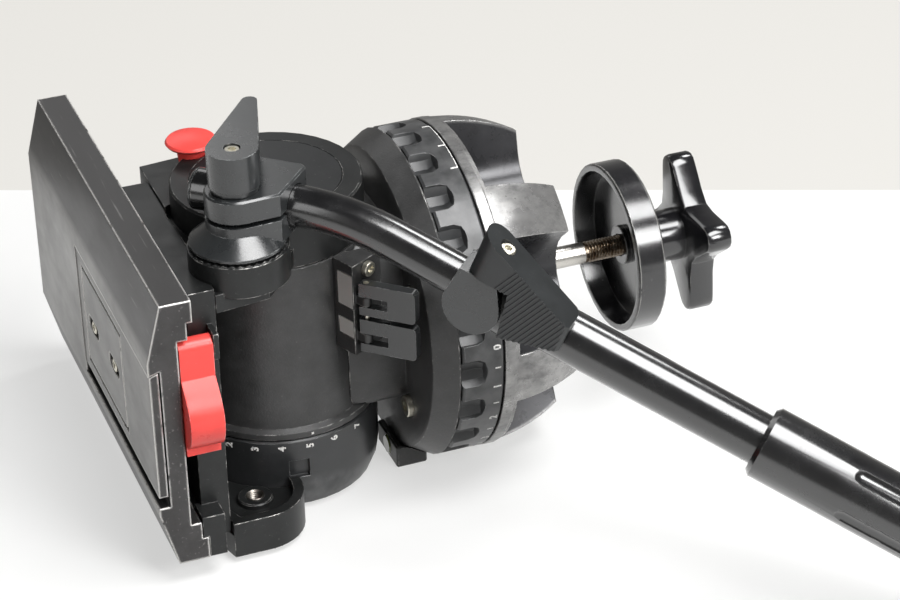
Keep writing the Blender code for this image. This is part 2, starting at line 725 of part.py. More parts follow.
disc_screws = []
for number, angle in enumerate(DISC_SCREW_ANGLES):
    spot = on_axis(DISC_SCREW_RADIUS, angle, DISC_START + DISC_SCREW_SINK, "x")
    seat = frame(f"disc_screw_seat_{number + 1}", spot, (0, 1, 0), (-1, 0, 0), axes)
    cut(pan_housing, tool(f"disc_counterbore_{number + 1}",
                          rod(DISC_SCREW_HEAD + 2.0 * GAP, -GAP, DISC_SCREW_SINK + OVERRUN), seat))
    disc_screws.append(socket_screw(f"disc_screw_{number + 1}", DISC_SCREW_HEAD, DISC_SCREW_HEIGHT, seat))

bearing_profile = [(PAN_AXLE_RADIUS + GAP, DISC_END - PAN_BEARING_WIDTH),
                   (PAN_BEARING_RADIUS, DISC_END - PAN_BEARING_WIDTH),
                   (PAN_BEARING_RADIUS, DISC_END),
                   (PAN_AXLE_RADIUS + GAP, DISC_END)]
add("pan_bearing", turned(bearing_profile, ROUND_STEPS, "x"), BRONZE, axes)


# Tilt drum with its index band and the damping core inside the drag ring
def drum_profile():
    bore = TILT_AXLE_RADIUS + GAP
    pocket = TILT_BEARING_RADIUS + GAP
    return [(bore, DRUM_CORE_BOTTOM + TILT_BEARING_WIDTH),
            (pocket, DRUM_CORE_BOTTOM + TILT_BEARING_WIDTH),
            (pocket, DRUM_CORE_BOTTOM),
            (DRUM_CORE_RADIUS, DRUM_CORE_BOTTOM),
            (DRUM_CORE_RADIUS, DRUM_BAND_BOTTOM),
            (DRUM_BAND_RADIUS - EDGE, DRUM_BAND_BOTTOM),
            (DRUM_BAND_RADIUS, DRUM_BAND_BOTTOM + EDGE),
            (DRUM_BAND_RADIUS, DRUM_BAND_TOP - EDGE),
            (DRUM_RADIUS, DRUM_BAND_TOP + EDGE),
            (DRUM_RADIUS, DRUM_TOP - EDGE),
            (DRUM_RADIUS - EDGE, DRUM_TOP),
            (pocket, DRUM_TOP),
            (pocket, DRUM_TOP - TILT_BEARING_WIDTH),
            (bore, DRUM_TOP - TILT_BEARING_WIDTH)]


tilt_drum = add("tilt_drum", turned(drum_profile(), FINE_STEPS), BLACK_ANODISED, axes)
saddle_relief = rod(PAN_AXLE_RADIUS + 2.0 * GAP, PAN_AXLE_START - EDGE, DRUM_RADIUS + OVERRUN, "x", steps=ROUND_STEPS)
cut(tilt_drum, tool("pan_axle_relief", saddle_relief, axes))

for name, top in (("tilt_bearing_upper", DRUM_TOP - GAP), ("tilt_bearing_lower", DRUM_CORE_BOTTOM + TILT_BEARING_WIDTH - GAP)):
    outline = [(TILT_AXLE_RADIUS + GAP, top - TILT_BEARING_WIDTH + GAP + GAP),
               (TILT_BEARING_RADIUS, top - TILT_BEARING_WIDTH + GAP + GAP),
               (TILT_BEARING_RADIUS, top),
               (TILT_AXLE_RADIUS + GAP, top)]
    add(name, turned(outline, ROUND_STEPS), BRONZE, axes)

add("tilt_axle", rod(TILT_AXLE_RADIUS, FOOT_TOP + GAP, CHEEK_TOP - CAP_THICKNESS - SOFT_EDGE, steps=ROUND_STEPS, edge=EDGE),
    STEEL, axes)


# Tilt drag ring
def tilt_ring_profile():
    top = DRUM_BAND_BOTTOM - GAP
    inside = DRUM_CORE_RADIUS + GAP
    return [(inside, TILT_RING_BOTTOM),
            (TILT_RING_FOOT_RADIUS, TILT_RING_BOTTOM),
            (TILT_RING_RADIUS - EDGE, TILT_RING_BOTTOM + TILT_RING_FOOT_HEIGHT),
            (TILT_RING_RADIUS, TILT_RING_BOTTOM + 2.0 * TILT_RING_FOOT_HEIGHT),
            (TILT_RING_RADIUS, top - EDGE),
            (TILT_RING_RADIUS - EDGE, top),
            (inside, top)]


tilt_drag_ring = add("tilt_drag_ring", turned(tilt_ring_profile(), FINE_STEPS), BLACK_ANODISED, axes)
for number in range(TILT_NOTCH_COUNT):
    angle = TILT_NOTCH_ANGLE + TURN * number / TILT_NOTCH_COUNT
    outward = (math.cos(angle), math.sin(angle), 0.0)
    seat = frame(f"ring_notch_{number + 1}", (0.0, 0.0, DRUM_BAND_BOTTOM), outward, (0, 0, 1), axes)
    notch = box((TILT_RING_RADIUS - TILT_NOTCH_DEPTH, TILT_RING_RADIUS + OVERRUN),
                (-TILT_NOTCH_WIDTH / 2.0, TILT_NOTCH_WIDTH / 2.0),
                (-TILT_NOTCH_DROP - TILT_NOTCH_HEIGHT, -TILT_NOTCH_DROP))
    cut(tilt_drag_ring, tool(f"ring_notch_cutter_{number + 1}", notch, seat))


# Brake block on the drum, with its bright clips and screw, and the lugs of the lever hinge
block_frame = frame("brake_block_frame", (0.0, 0.0, 0.0),
                    (math.cos(BLOCK_ANGLE), math.sin(BLOCK_ANGLE), 0.0), (0, 0, 1), axes)
block_outline = [(DRUM_RADIUS - OVERRUN, 0.0),
                 (BLOCK_REACH, 0.0),
                 (BLOCK_REACH - BLOCK_LEAN, BLOCK_WIDTH),
                 (DRUM_RADIUS - 2.0 * OVERRUN, BLOCK_WIDTH)]
brake_block = add("brake_block", prism(block_outline, BLOCK_BOTTOM, BLOCK_TOP), BLACK_PLASTIC, block_frame)
saddle_side = SADDLE_HALF_WIDTH + GAP
cut(brake_block, tool("block_seat", rod(DRUM_RADIUS + GAP, BLOCK_BOTTOM - OVERRUN, BLOCK_TOP + OVERRUN,
                                        steps=FINE_STEPS), axes),
    tool("block_saddle_seat", box((0.0, DISC_START), (-saddle_side, 0.0), (BLOCK_BOTTOM - OVERRUN, BLOCK_TOP + OVERRUN)),
         axes))
clip_far = BLOCK_REACH - CLIP_STANDOFF
clip_near = clip_far - CLIP_WIDTH
clip_face = CLIP_POCKET - GAP
for name, span in (("brake_clip_upper", UPPER_CLIP_SPAN), ("brake_clip_lower", LOWER_CLIP_SPAN)):
    cut(brake_block, tool(f"{name}_pocket", box((clip_near - GAP, clip_far + GAP), (-OVERRUN, CLIP_POCKET),
                                                (span[0] - GAP, span[1] + GAP)), block_frame))
    add(name, box((clip_near, clip_far), (clip_face - CLIP_THICKNESS, clip_face), span), STEEL, block_frame,
        smooth=False)
face_lean = math.atan2(BLOCK_LEAN, BLOCK_WIDTH)
screw_seat = frame("block_screw_seat",
                   (BLOCK_REACH - BLOCK_LEAN * BLOCK_SCREW_ACROSS / BLOCK_WIDTH + GAP, BLOCK_SCREW_ACROSS,
                    BLOCK_TOP - BLOCK_SCREW_DROP),
                   (0, 0, 1), (math.cos(face_lean), math.sin(face_lean), 0.0), block_frame)
socket_screw("brake_block_screw", BLOCK_SCREW_HEAD, BLOCK_SCREW_HEIGHT, screw_seat)

hinge_spot = (BLOCK_REACH + BRAKE_HINGE_STAND, BRAKE_HINGE_ACROSS, 0.0)
hinge_frame = frame("brake_hinge", hinge_spot, (1, 0, 0), (0, 0, 1), block_frame)
lug_outline = ([(-BRAKE_HINGE_STAND - OVERRUN, -BRAKE_LUG_RADIUS)]
               + arc((0.0, 0.0), BRAKE_LUG_RADIUS, -math.pi / 2.0, math.pi / 2.0, 8)
               + [(-BRAKE_HINGE_STAND - OVERRUN, BRAKE_LUG_RADIUS)])


def brake_outline(height):
    """A flat finger lever, forked at its root to take the lug."""
    root = -BRAKE_PIN_INSET
    tip = BRAKE_LENGTH - BRAKE_PIN_INSET
    fork = root + BRAKE_SLOT_LENGTH
    outline = [(root, 0.0)]
    outline += arc((tip - SOFT_EDGE, SOFT_EDGE), SOFT_EDGE, -math.pi / 2.0, 0.0, 3)
    outline += arc((tip - SOFT_EDGE, height - SOFT_EDGE), SOFT_EDGE, 0.0, math.pi / 2.0, 3)
    outline += [(root, height),
                (root, BRAKE_PRONG + BRAKE_SLOT),
                (fork, BRAKE_PRONG + BRAKE_SLOT),
                (fork, BRAKE_PRONG),
                (root, BRAKE_PRONG)]
    return outline


lever_frame = frame("brake_lever_frame", (0.0, 0.0, 0.0),
                    (math.cos(BRAKE_HEADING - BLOCK_ANGLE), math.sin(BRAKE_HEADING - BLOCK_ANGLE), 0.0),
                    (0, 0, 1), hinge_frame)
for name, span in (("tilt_brake_lever", UPPER_BRAKE_SPAN), ("pan_brake_lever", LOWER_BRAKE_SPAN)):
    outline = [(along, span[0] + height) for along, height in brake_outline(span[1] - span[0])]
    lever = add(name, prism(outline, -BRAKE_THICKNESS / 2.0, BRAKE_THICKNESS / 2.0, "xz"), BLACK_PLASTIC, lever_frame,
                smooth=False)
    bore = rod(BRAKE_PIN_RADIUS + GAP, span[0] - OVERRUN, span[1] + OVERRUN)
    cut(lever, tool(f"{name}_bore", bore, lever_frame))
    lug_low = span[0] + BRAKE_PRONG + GAP
    lug_high = span[0] + BRAKE_PRONG + BRAKE_SLOT - GAP
    join(brake_block, tool(f"{name}_lug", prism(lug_outline, lug_low, lug_high), hinge_frame))
cut(brake_block, tool("hinge_pin_bore", rod(BRAKE_PIN_RADIUS + GAP, LOWER_BRAKE_SPAN[0], UPPER_BRAKE_SPAN[1]),
                      hinge_frame))
add("brake_hinge_pin", rod(BRAKE_PIN_RADIUS, LOWER_BRAKE_SPAN[0], UPPER_BRAKE_SPAN[1]), STEEL, hinge_frame)

# Spirit level
level_body = add("level_housing", box((LEVEL_START, DISC_END - GAP), LEVEL_SPAN, (LEVEL_BOTTOM, LEVEL_TOP)),
                 BLACK_PLASTIC, axes, smooth=False)
soften(level_body, EDGE)
level_seat = turned([(0.0, DISC_START - GAP), (DISC_FACE_RADIUS + GAP, DISC_START - GAP),
                     (DISC_RADIUS + 2.0 * GAP, DISC_END), (0.0, DISC_END)], BALL_STEPS, "x")
level_middle = (LEVEL_SPAN[0] + LEVEL_SPAN[1]) / 2.0
level_height = (LEVEL_TOP + LEVEL_BOTTOM) / 2.0
cut(level_body, tool("level_seat", level_seat, axes),
    tool("vial_pocket", rod(VIAL_RADIUS + GAP, LEVEL_START - OVERRUN, LEVEL_START + VIAL_DEPTH, "x",
                            (level_middle, level_height)), axes))
add("level_vial", rod(VIAL_RADIUS, LEVEL_START - VIAL_STAND, LEVEL_START + VIAL_DEPTH - GAP, "x",
                      (level_middle, level_height), edge=VIAL_STAND), GLASS, axes)


# Tilt head: bed, upper arm, lower arm
def tongue(low, high):
    return box((RAIL_FRONT, BED_BACK), (BED_NEAR, BED_FAR), (low, high))


bed = add("bed", box((BED_FRONT, BED_BACK), (BED_NEAR, BED_FAR), (-BED_HALF_HEIGHT, BED_HALF_HEIGHT)),
          BLACK_ANODISED, axes, smooth=False)
join(bed, tool("upper_tongue", tongue(*TONGUE_SPAN), axes),
     tool("lower_tongue", tongue(-TONGUE_SPAN[1], -TONGUE_SPAN[0]), axes),
     tool("near_rail", prism([(RAIL_FRONT, -TONGUE_SPAN[1]), (BED_FRONT, -TONGUE_SPAN[1]),
                              (BED_FRONT, RAIL_BOTTOM), (RAIL_BACK, RAIL_BOTTOM),
                              (RAIL_BACK, RAIL_TOP), (RAIL_FRONT, RAIL_TOP)],
                             RAIL_NEAR, BED_NEAR + OVERRUN, "xz"), axes),
     tool("lever_lug", box((LEVER_BACK + GAP, BED_BACK - OVERRUN), (LUG_NEAR, BED_NEAR + OVERRUN),
                           (LEVER_PIVOT_Z - LUG_HALF_HEIGHT, LEVER_PIVOT_Z + LUG_HALF_HEIGHT)), axes))
cut(bed,
    tool("lever_pin_bore", rod(LEVER_PIN_RADIUS + GAP, LEVER_BACK - OVERRUN, BED_BACK + OVERRUN, "x",
                               (LEVER_PIVOT_Y, LEVER_PIVOT_Z)), axes),
    tool("bed_drum_relief", rod(DRUM_BAND_RADIUS + RUNNING_GAP, -BED_HALF_HEIGHT - OVERRUN,
                                BED_HALF_HEIGHT + OVERRUN, steps=FINE_STEPS), axes))

ear_centre = (EAR_X, EAR_Y)
button_centre = (BUTTON_X, BUTTON_Y)
arm_edge = BED_BACK + GAP
web_outline = [(arm_edge, ARM_FACE_NEAR), ARM_CORNER, ARM_SHOULDER,
               (0.0, -CHEEK_RADIUS + SOFT_EDGE), (0.0, CHEEK_RADIUS - SOFT_EDGE), (arm_edge, BED_FAR)]
boss_outline = hull(disc_points(button_centre, BUTTON_BOSS_RADIUS, 28)
                    + [(arm_edge, BUTTON_BOSS_NEAR), (arm_edge, BUTTON_Y + BUTTON_BOSS_RADIUS - SOFT_EDGE)])
cheek_floor = DRUM_TOP + GAP
cheek_profile = [(0.0, cheek_floor),
                 (CHEEK_RADIUS, cheek_floor),
                 (CHEEK_RADIUS, CHEEK_TOP - EDGE),
                 (CHEEK_RADIUS - EDGE, CHEEK_TOP),
                 (0.0, CHEEK_TOP)]
upper_arm = add("upper_arm", turned(cheek_profile, FINE_STEPS), BLACK_ANODISED, axes)
join(upper_arm,
     tool("upper_web", prism(web_outline, WEB_BOTTOM, WEB_TOP), axes),
     tool("button_boss", prism(boss_outline, WEB_BOTTOM, BUTTON_SEAT), axes),
     tool("ear_plate", rod(EAR_RADIUS, UPPER_EAR_BOTTOM, EAR_FACE, centre=ear_centre, steps=FINE_STEPS), axes))
cap_floor = CHEEK_TOP - CAP_THICKNESS
bed_seat = box((BED_FRONT - OVERRUN, arm_edge), (PLATFORM_NEAR, BED_FAR + GAP),
               (-BED_HALF_HEIGHT - GAP, BED_HALF_HEIGHT + GAP))
stem_bore = BUTTON_STEM_RADIUS + GAP
cut(upper_arm,
    tool("bed_seat_cutter", bed_seat.copy(), axes),
    tool("ear_scallop", rod(EAR_RADIUS, EAR_FACE, CHEEK_TOP + OVERRUN, centre=ear_centre, steps=FINE_STEPS), axes),
    tool("cap_recess", rod(CAP_RADIUS + GAP, cap_floor - GAP, CHEEK_TOP + OVERRUN, steps=FINE_STEPS), axes),
    tool("axle_socket", rod(TILT_AXLE_RADIUS + GAP, DRUM_TOP - OVERRUN, cap_floor - SOFT_EDGE + GAP,
                             steps=ROUND_STEPS), axes),
    tool("upper_ear_bore", rod(EAR_BORE + GAP, WEB_BOTTOM - OVERRUN, EAR_FACE + OVERRUN, centre=ear_centre), axes),
    tool("button_scallop", rod(stem_bore + SOFT_EDGE, BUTTON_SEAT, CHEEK_TOP + OVERRUN, centre=button_centre), axes),
    tool("button_bore", rod(stem_bore, BUTTON_BORE_END, BUTTON_SEAT + OVERRUN, centre=button_centre), axes))

add("end_cap", rod(CAP_RADIUS, cap_floor, CHEEK_TOP, steps=FINE_STEPS), BLACK_ANODISED, axes)


# Toothed rosettes
def rosette(face, direction, radius):
    """A ring of radial teeth standing on a face."""
    shape = bmesh.new()
    inner = radius - TOOTH_LENGTH
    base = face - direction * TOOTH_HEIGHT * ROOT_SHARE
    rings = {"base_in": [], "base_out": [], "top_in": [], "top_out": []}
    for index in range(2 * TOOTH_COUNT):
        angle = TURN * index / (2 * TOOTH_COUNT)
        crest = face + direction * TOOTH_HEIGHT if index % 2 else face
        for key, reach, height in (("base_in", inner, base), ("base_out", radius, base),
                                   ("top_in", inner, crest), ("top_out", radius, crest)):
            rings[key].append(shape.verts.new((reach * math.cos(angle), reach * math.sin(angle), height)))
    for index in range(2 * TOOTH_COUNT):
        after = (index + 1) % (2 * TOOTH_COUNT)
        for one, two in (("base_in", "base_out"), ("base_out", "top_out"), ("top_out", "top_in"), ("top_in", "base_in")):
            shape.faces.new((rings[one][index], rings[one][after], rings[two][after], rings[two][index]))
    return shape


ROOT_SHARE = 0.6

ear_frame = frame("rosette_axis", (EAR_X, EAR_Y, 0.0), (1, 0, 0), (0, 0, 1), axes)
join(upper_arm, tool("upper_ear_teeth", rosette(EAR_FACE, 1.0, EAR_RADIUS - EDGE), ear_frame))

# Lower arm: the near ear with its pocket, and the foot that carries the lower end of the axle
lower_ear_outline = hull(disc_points(ear_centre, EAR_RADIUS, FINE_STEPS)
                         + [(arm_edge, EAR_Y - EAR_RADIUS), (arm_edge, EAR_Y + EAR_RADIUS)])
lower_arm = add("lower_arm", prism(lower_ear_outline, LOWER_EAR_FACE, LOWER_EAR_TOP), BLACK_ANODISED, axes)
riser = box((BED_FRONT + EDGE, FOOT_RISER_BACK), (EAR_Y, FOOT_ARM_HALF_WIDTH), (-REST_HEIGHT, -BED_HALF_HEIGHT - GAP))
foot_arm = box((BED_FRONT + EDGE, 0.0), (-FOOT_ARM_HALF_WIDTH, FOOT_ARM_HALF_WIDTH), (-REST_HEIGHT, FOOT_TOP))
join(lower_arm, tool("foot_riser", riser, axes), tool("foot_beam", foot_arm, axes),
     tool("foot_disc", rod(FOOT_RADIUS, -REST_HEIGHT, FOOT_TOP, steps=FINE_STEPS), axes))
pocket_outline = hull(disc_points(ear_centre, EAR_RADIUS - EAR_WALL)
                      + [(arm_edge + EAR_WALL, EAR_Y - EAR_RADIUS + EAR_WALL), (arm_edge + EAR_WALL, EAR_Y + EAR_RADIUS),
                         (EAR_X + EAR_RADIUS - EAR_WALL, 0.0), (arm_edge + EAR_WALL, 0.0)])
join(lower_arm, tool("lower_ear_teeth", rosette(LOWER_EAR_FACE, -1.0, EAR_RADIUS - EDGE), ear_frame))
cut(lower_arm,
    tool("lower_bed_seat", bed_seat.copy(), axes),
    tool("ear_pocket", prism(pocket_outline, EAR_FLOOR, LOWER_EAR_TOP + OVERRUN), axes),
    tool("ring_path", rod(ring_sweep, FOOT_TOP, LOWER_EAR_TOP + OVERRUN, steps=FINE_STEPS), axes),
    tool("lower_ear_bore", rod(EAR_BORE, LOWER_EAR_FACE - OVERRUN, LOWER_EAR_TOP + OVERRUN, centre=ear_centre,
                               steps=FINE_STEPS), axes))


# Camera platform
def platform_outline():
    upper = [(PLATFORM_FACE, FACE_HALF_HEIGHT),
             (PLATFORM_RIDGE, PLATFORM_HALF_HEIGHT),
             (PLATFORM_BACK, PLATFORM_HALF_HEIGHT),
             (PLATFORM_BACK, STEP_ONE),
             (PLATFORM_BACK - STEP_ONE_DEPTH, STEP_ONE),
             (PLATFORM_BACK - STEP_ONE_DEPTH, STEP_TWO),
             (PLATFORM_BACK - STEP_TWO_DEPTH, STEP_TWO)]
    lower = [(x, -z) for x, z in reversed(upper)]
    return upper + lower


platform = add("platform", prism(platform_outline(), PLATFORM_NEAR, PLATFORM_FAR, "xz"), BLACK_ANODISED, axes, smooth=False)
channel_outline = [(PLATFORM_FACE - CHANNEL_FLOOR + PLATFORM_FACE, CHANNEL_BOTTOM),
                   (CHANNEL_FLOOR, CHANNEL_BOTTOM),
                   (CHANNEL_FLOOR, CHANNEL_TOP + CHANNEL_UNDERCUT),
                   (PLATFORM_FACE, CHANNEL_TOP),
                   (PLATFORM_FACE - CHANNEL_FLOOR + PLATFORM_FACE, CHANNEL_TOP)]
cut(platform, tool("plate_channel", prism(channel_outline, PLATFORM_NEAR - OVERRUN, PLATE_FAR + GAP, "xz"), axes))

plate_face = PLATFORM_FACE + PLATE_SET_BACK
plate_back = CHANNEL_FLOOR - PLATE_BACK_GAP
plate_slope = CHANNEL_UNDERCUT * (plate_back - PLATFORM_FACE) / (CHANNEL_FLOOR - PLATFORM_FACE)
plate_outline = [(plate_face, PLATE_BOTTOM), (plate_back, PLATE_BOTTOM),
                 (plate_back, CHANNEL_TOP - GAP + plate_slope), (plate_face, CHANNEL_TOP - GAP)]
plate_frame = frame("slide_plate_frame", (0.0, 0.0, 0.0), (1, 0, 0), (0, 0, 1), axes)
slide_plate = add("slide_plate", prism(plate_outline, PLATFORM_NEAR, PLATE_FAR, "xz"), BLACK_ANODISED, plate_frame,
                  smooth=False)
pocket_floor = plate_face + POCKET_DEPTH
cut(slide_plate, tool("plate_pocket", box((plate_face - OVERRUN, pocket_floor), POCKET_SPAN,
                                          (POCKET_CENTRE - POCKET_HALF_HEIGHT, POCKET_CENTRE + POCKET_HALF_HEIGHT)),
                      plate_frame))
camera_plate = add("camera_plate", box((plate_face, pocket_floor - GAP),
                                       (POCKET_SPAN[0] + CAMERA_PLATE_GAP, POCKET_SPAN[1] - CAMERA_PLATE_GAP),
                                       (POCKET_CENTRE - POCKET_HALF_HEIGHT + CAMERA_PLATE_GAP,
                                        POCKET_CENTRE + POCKET_HALF_HEIGHT - CAMERA_PLATE_GAP)),
                   BLACK_ANODISED, plate_frame, smooth=False)
for number, centre in enumerate(SLOT_CENTRES):
    outline = slot_outline((centre, POCKET_CENTRE), SLOT_LENGTH, SLOT_WIDTH)
    cut(camera_plate, tool(f"screw_slot_{number + 1}", prism(outline, plate_face - OVERRUN, pocket_floor + OVERRUN, "yz"),
                           plate_frame))
    seat = frame(f"camera_screw_seat_{number + 1}", (pocket_floor - GAP, centre, POCKET_CENTRE), (0, 1, 0), (-1, 0, 0),
                 plate_frame)
    socket_screw(f"camera_screw_{number + 1}", CAMERA_SCREW_RADIUS, POCKET_DEPTH - GAP, seat)


# Red clamp lever and its pin
def lever_outline():
    pivot = (LEVER_PIVOT_Y, LEVER_PIVOT_Z)
    top = arc(pivot, LEVER_TOP_RADIUS, 0.0, math.pi, 8)
    bulge_steps = 6
    bulge = []
    for index in range(bulge_steps + 1):
        share = index / bulge_steps
        z = LEVER_CREASE_Z + (LEVER_BULGE_Z - LEVER_CREASE_Z) * share
        y = LEVER_STRIP_Y + (LEVER_BULGE_Y - LEVER_STRIP_Y) * math.sin(share * math.pi / 2.0)
        bulge.append((y, z))
    for index in range(1, bulge_steps + 1):
        share = index / bulge_steps
        z = LEVER_BULGE_Z + (LEVER_FOOT_Z - LEVER_BULGE_Z) * math.sin(share * math.pi / 2.0)
        y = LEVER_BULGE_Y + (LEVER_FOOT_Y - LEVER_BULGE_Y) * (1.0 - math.cos(share * math.pi / 2.0))
        bulge.append((y, z))
    foot = [(LEVER_LIP_Y, LEVER_FOOT_Z), (LEVER_LIP_Y, LEVER_LIP_Z), (LEVER_BACK_Y, LEVER_LIP_Z)]
    back = [(LEVER_BACK_Y, LEVER_CREASE_Z), (LEVER_PIVOT_Y + LEVER_TOP_RADIUS, LEVER_CREASE_Z + SOFT_EDGE)]
    return top + bulge + foot + back


clamp_lever = add("clamp_lever", prism(lever_outline(), LEVER_FRONT, LEVER_BACK, "yz"), RED_PLASTIC, axes)
cut(clamp_lever, tool("lever_bore", rod(LEVER_PIN_RADIUS + GAP, LEVER_FRONT - OVERRUN, LEVER_BACK + OVERRUN, "x",
                                        (LEVER_PIVOT_Y, LEVER_PIVOT_Z)), axes))
add("lever_pin", rod(LEVER_PIN_RADIUS, LEVER_FRONT + EDGE, BED_BACK - OVERRUN, "x", (LEVER_PIVOT_Y, LEVER_PIVOT_Z), edge=GAP),
    STEEL, axes)

# Red safety button
button_profile = [(0.0, BUTTON_STEM_END),
                  (BUTTON_STEM_RADIUS, BUTTON_STEM_END),
                  (BUTTON_STEM_RADIUS, BUTTON_SEAT + BUTTON_TRAVEL),
                  (BUTTON_STEM_RADIUS + BUTTON_STEM_FLARE, BUTTON_TOP - BUTTON_CROWN - BUTTON_RIM - BUTTON_UNDERCUT),
                  (BUTTON_RADIUS - EDGE, BUTTON_TOP - BUTTON_CROWN - BUTTON_RIM),
                  (BUTTON_RADIUS, BUTTON_TOP - BUTTON_CROWN - BUTTON_RIM / 2.0),
                  (BUTTON_RADIUS - EDGE, BUTTON_TOP - BUTTON_CROWN),
                  (BUTTON_RADIUS / 2.0, BUTTON_TOP - BUTTON_CROWN / 4.0),
                  (0.0, BUTTON_TOP)]
button_frame = frame("button_axis", (BUTTON_X, BUTTON_Y, 0.0), (1, 0, 0), (0, 0, 1), axes)
add("safety_button", turned(button_profile, 32), RED_PLASTIC, button_frame)

# Pan bar clamp: a toothed jaw under the tube, a clamp over it, and the wing knob that pulls both down
bar_forward = (math.cos(BAR_HEADING), math.sin(BAR_HEADING), 0.0)
bar_base = frame("bar_clamp_frame", (EAR_X, EAR_Y, 0.0), bar_forward, (0, 0, 1), axes)
jaw_crest = EAR_FACE + TOOTH_HEIGHT + GAP
jaw_root = jaw_crest + TOOTH_HEIGHT
bolt_bore = BOLT_RADIUS + GAP
clamp_outline = hull(disc_points((0.0, 0.0), JAW_NECK_RADIUS, 24)
                     + [(-CLAMP_LEFT, CLAMP_FAR - SOFT_EDGE), (-CLAMP_LEFT + SOFT_EDGE, CLAMP_FAR),
                        (CLAMP_RIGHT - SOFT_EDGE, CLAMP_FAR), (CLAMP_RIGHT, CLAMP_FAR - SOFT_EDGE),
                        (CLAMP_RIGHT, CLAMP_NEAR), (CLAMP_RIGHT - SOFT_EDGE, CLAMP_NEAR - SOFT_EDGE)])
jaw_profile = [(0.0, jaw_root),
               (JAW_RADIUS, jaw_root),
               (JAW_RADIUS, jaw_root + JAW_RIM),
               (JAW_NECK_RADIUS - EDGE, JAW_NECK_HEIGHT),
               (JAW_NECK_RADIUS - EDGE, JAW_TOP - EDGE),
               (0.0, JAW_TOP - EDGE)]
bar_jaw = add("bar_jaw", turned(jaw_profile, FINE_STEPS), BLACK_PLASTIC, bar_base)
tube_bore = INNER_TUBE_RADIUS + GAP


def tube_bore_shape():
    return rod(tube_bore, -2.0 * BAR_BACK_REACH, 2.0 * CLAMP_RIGHT, "x", (BAR_OFFSET, BAR_HEIGHT), steps=ROUND_STEPS)


def bolt_bore_shape():
    return rod(bolt_bore, jaw_crest - OVERRUN, CLAMP_TOP + OVERRUN)


join(bar_jaw, tool("jaw_trough", prism(clamp_outline, JAW_WEB_BOTTOM, JAW_TOP), bar_base),
     tool("jaw_teeth", rosette(jaw_root, -1.0, JAW_RADIUS - EDGE), bar_base))
cut(bar_jaw, tool("jaw_tube_bore", tube_bore_shape(), bar_base), tool("jaw_bolt_bore", bolt_bore_shape(), bar_base))
bar_clamp = add("bar_clamp", prism(clamp_outline, CLAMP_BOTTOM, CLAMP_TOP), BLACK_PLASTIC, bar_base)
soften(bar_clamp, EDGE, 50.0 * DEGREE)
cut(bar_clamp, tool("clamp_tube_bore", tube_bore_shape(), bar_base),
    tool("clamp_bolt_bore", bolt_bore_shape(), bar_base))


def bar_point(distance):
    """The bar's centre line in the clamp's directions: straight, one bend downwards, straight."""
    bend_start = BAR_CORNER - BAR_BEND_RADIUS * math.tan(BAR_DROP / 2.0)
    run = distance - bend_start
    if run <= 0.0:
        return distance, 0.0, 0.0
    angle = min(run / BAR_BEND_RADIUS, BAR_DROP)
    beyond = run - angle * BAR_BEND_RADIUS
    along = bend_start + BAR_BEND_RADIUS * math.sin(angle) + beyond * math.cos(angle)
    height = -BAR_BEND_RADIUS * (1.0 - math.cos(angle)) - beyond * math.sin(angle)
    return along, height, angle


def bent_tube(distances, outer, inner, steps):
    """A round tube swept along the bar's centre line."""
    shape = bmesh.new()
    rings = []
    for distance in distances:
        along, height, slope = bar_point(distance)
        across = Vector((0.0, 1.0, 0.0))
        upward = Vector((math.sin(slope), 0.0, math.cos(slope)))
        centre = Vector((along, BAR_OFFSET, BAR_HEIGHT + height))
        turns = [TURN * number / steps for number in range(steps)]
        rings.append([[shape.verts.new(centre + radius * (across * math.cos(turn) + upward * math.sin(turn)))
                       for turn in turns] for radius in (outer, inner)])
    for index in range(steps):
        after = (index + 1) % steps
        for (outside, inside), (next_outside, next_inside) in zip(rings, rings[1:]):
            shape.faces.new((outside[index], outside[after], next_outside[after], next_outside[index]))
            shape.faces.new((inside[index], next_inside[index], next_inside[after], inside[after]))
        for outside, inside in (rings[0], rings[-1]):
            shape.faces.new((outside[index], inside[index], inside[after], outside[after]))
    return shape


bend_tangent = BAR_BEND_RADIUS * math.tan(BAR_DROP / 2.0)
bend_start = BAR_CORNER - bend_tangent
bend_length = BAR_BEND_RADIUS * BAR_DROP
tube_stations = ([-BAR_BACK_REACH]
                 + [bend_start + bend_length * index / BAR_BEND_STEPS for index in range(BAR_BEND_STEPS + 1)]
                 + [bend_start + bend_length + INNER_TUBE_END - bend_tangent])
add("inner_tube", bent_tube(tube_stations, INNER_TUBE_RADIUS, INNER_TUBE_RADIUS - INNER_TUBE_WALL, ROUND_STEPS),
    GLOSS_BLACK, bar_base)

plug_stem = INNER_TUBE_RADIUS - INNER_TUBE_WALL - GAP
plug_seat = -BAR_BACK_REACH - GAP
plug_profile = [(0.0, plug_seat - PLUG_FLANGE),
                (INNER_TUBE_RADIUS - EDGE, plug_seat - PLUG_FLANGE),
                (INNER_TUBE_RADIUS, plug_seat - PLUG_FLANGE / 2.0),
                (INNER_TUBE_RADIUS, plug_seat),
                (plug_stem, plug_seat),
                (plug_stem, plug_seat + PLUG_LENGTH),
                (0.0, plug_seat + PLUG_LENGTH)]
plug_frame = frame("plug_frame", (0.0, BAR_OFFSET, BAR_HEIGHT), (1, 0, 0), (0, 0, 1), bar_base)
add("tube_plug", turned(plug_profile, ROUND_STEPS, "x"), BLACK_PLASTIC, plug_frame)

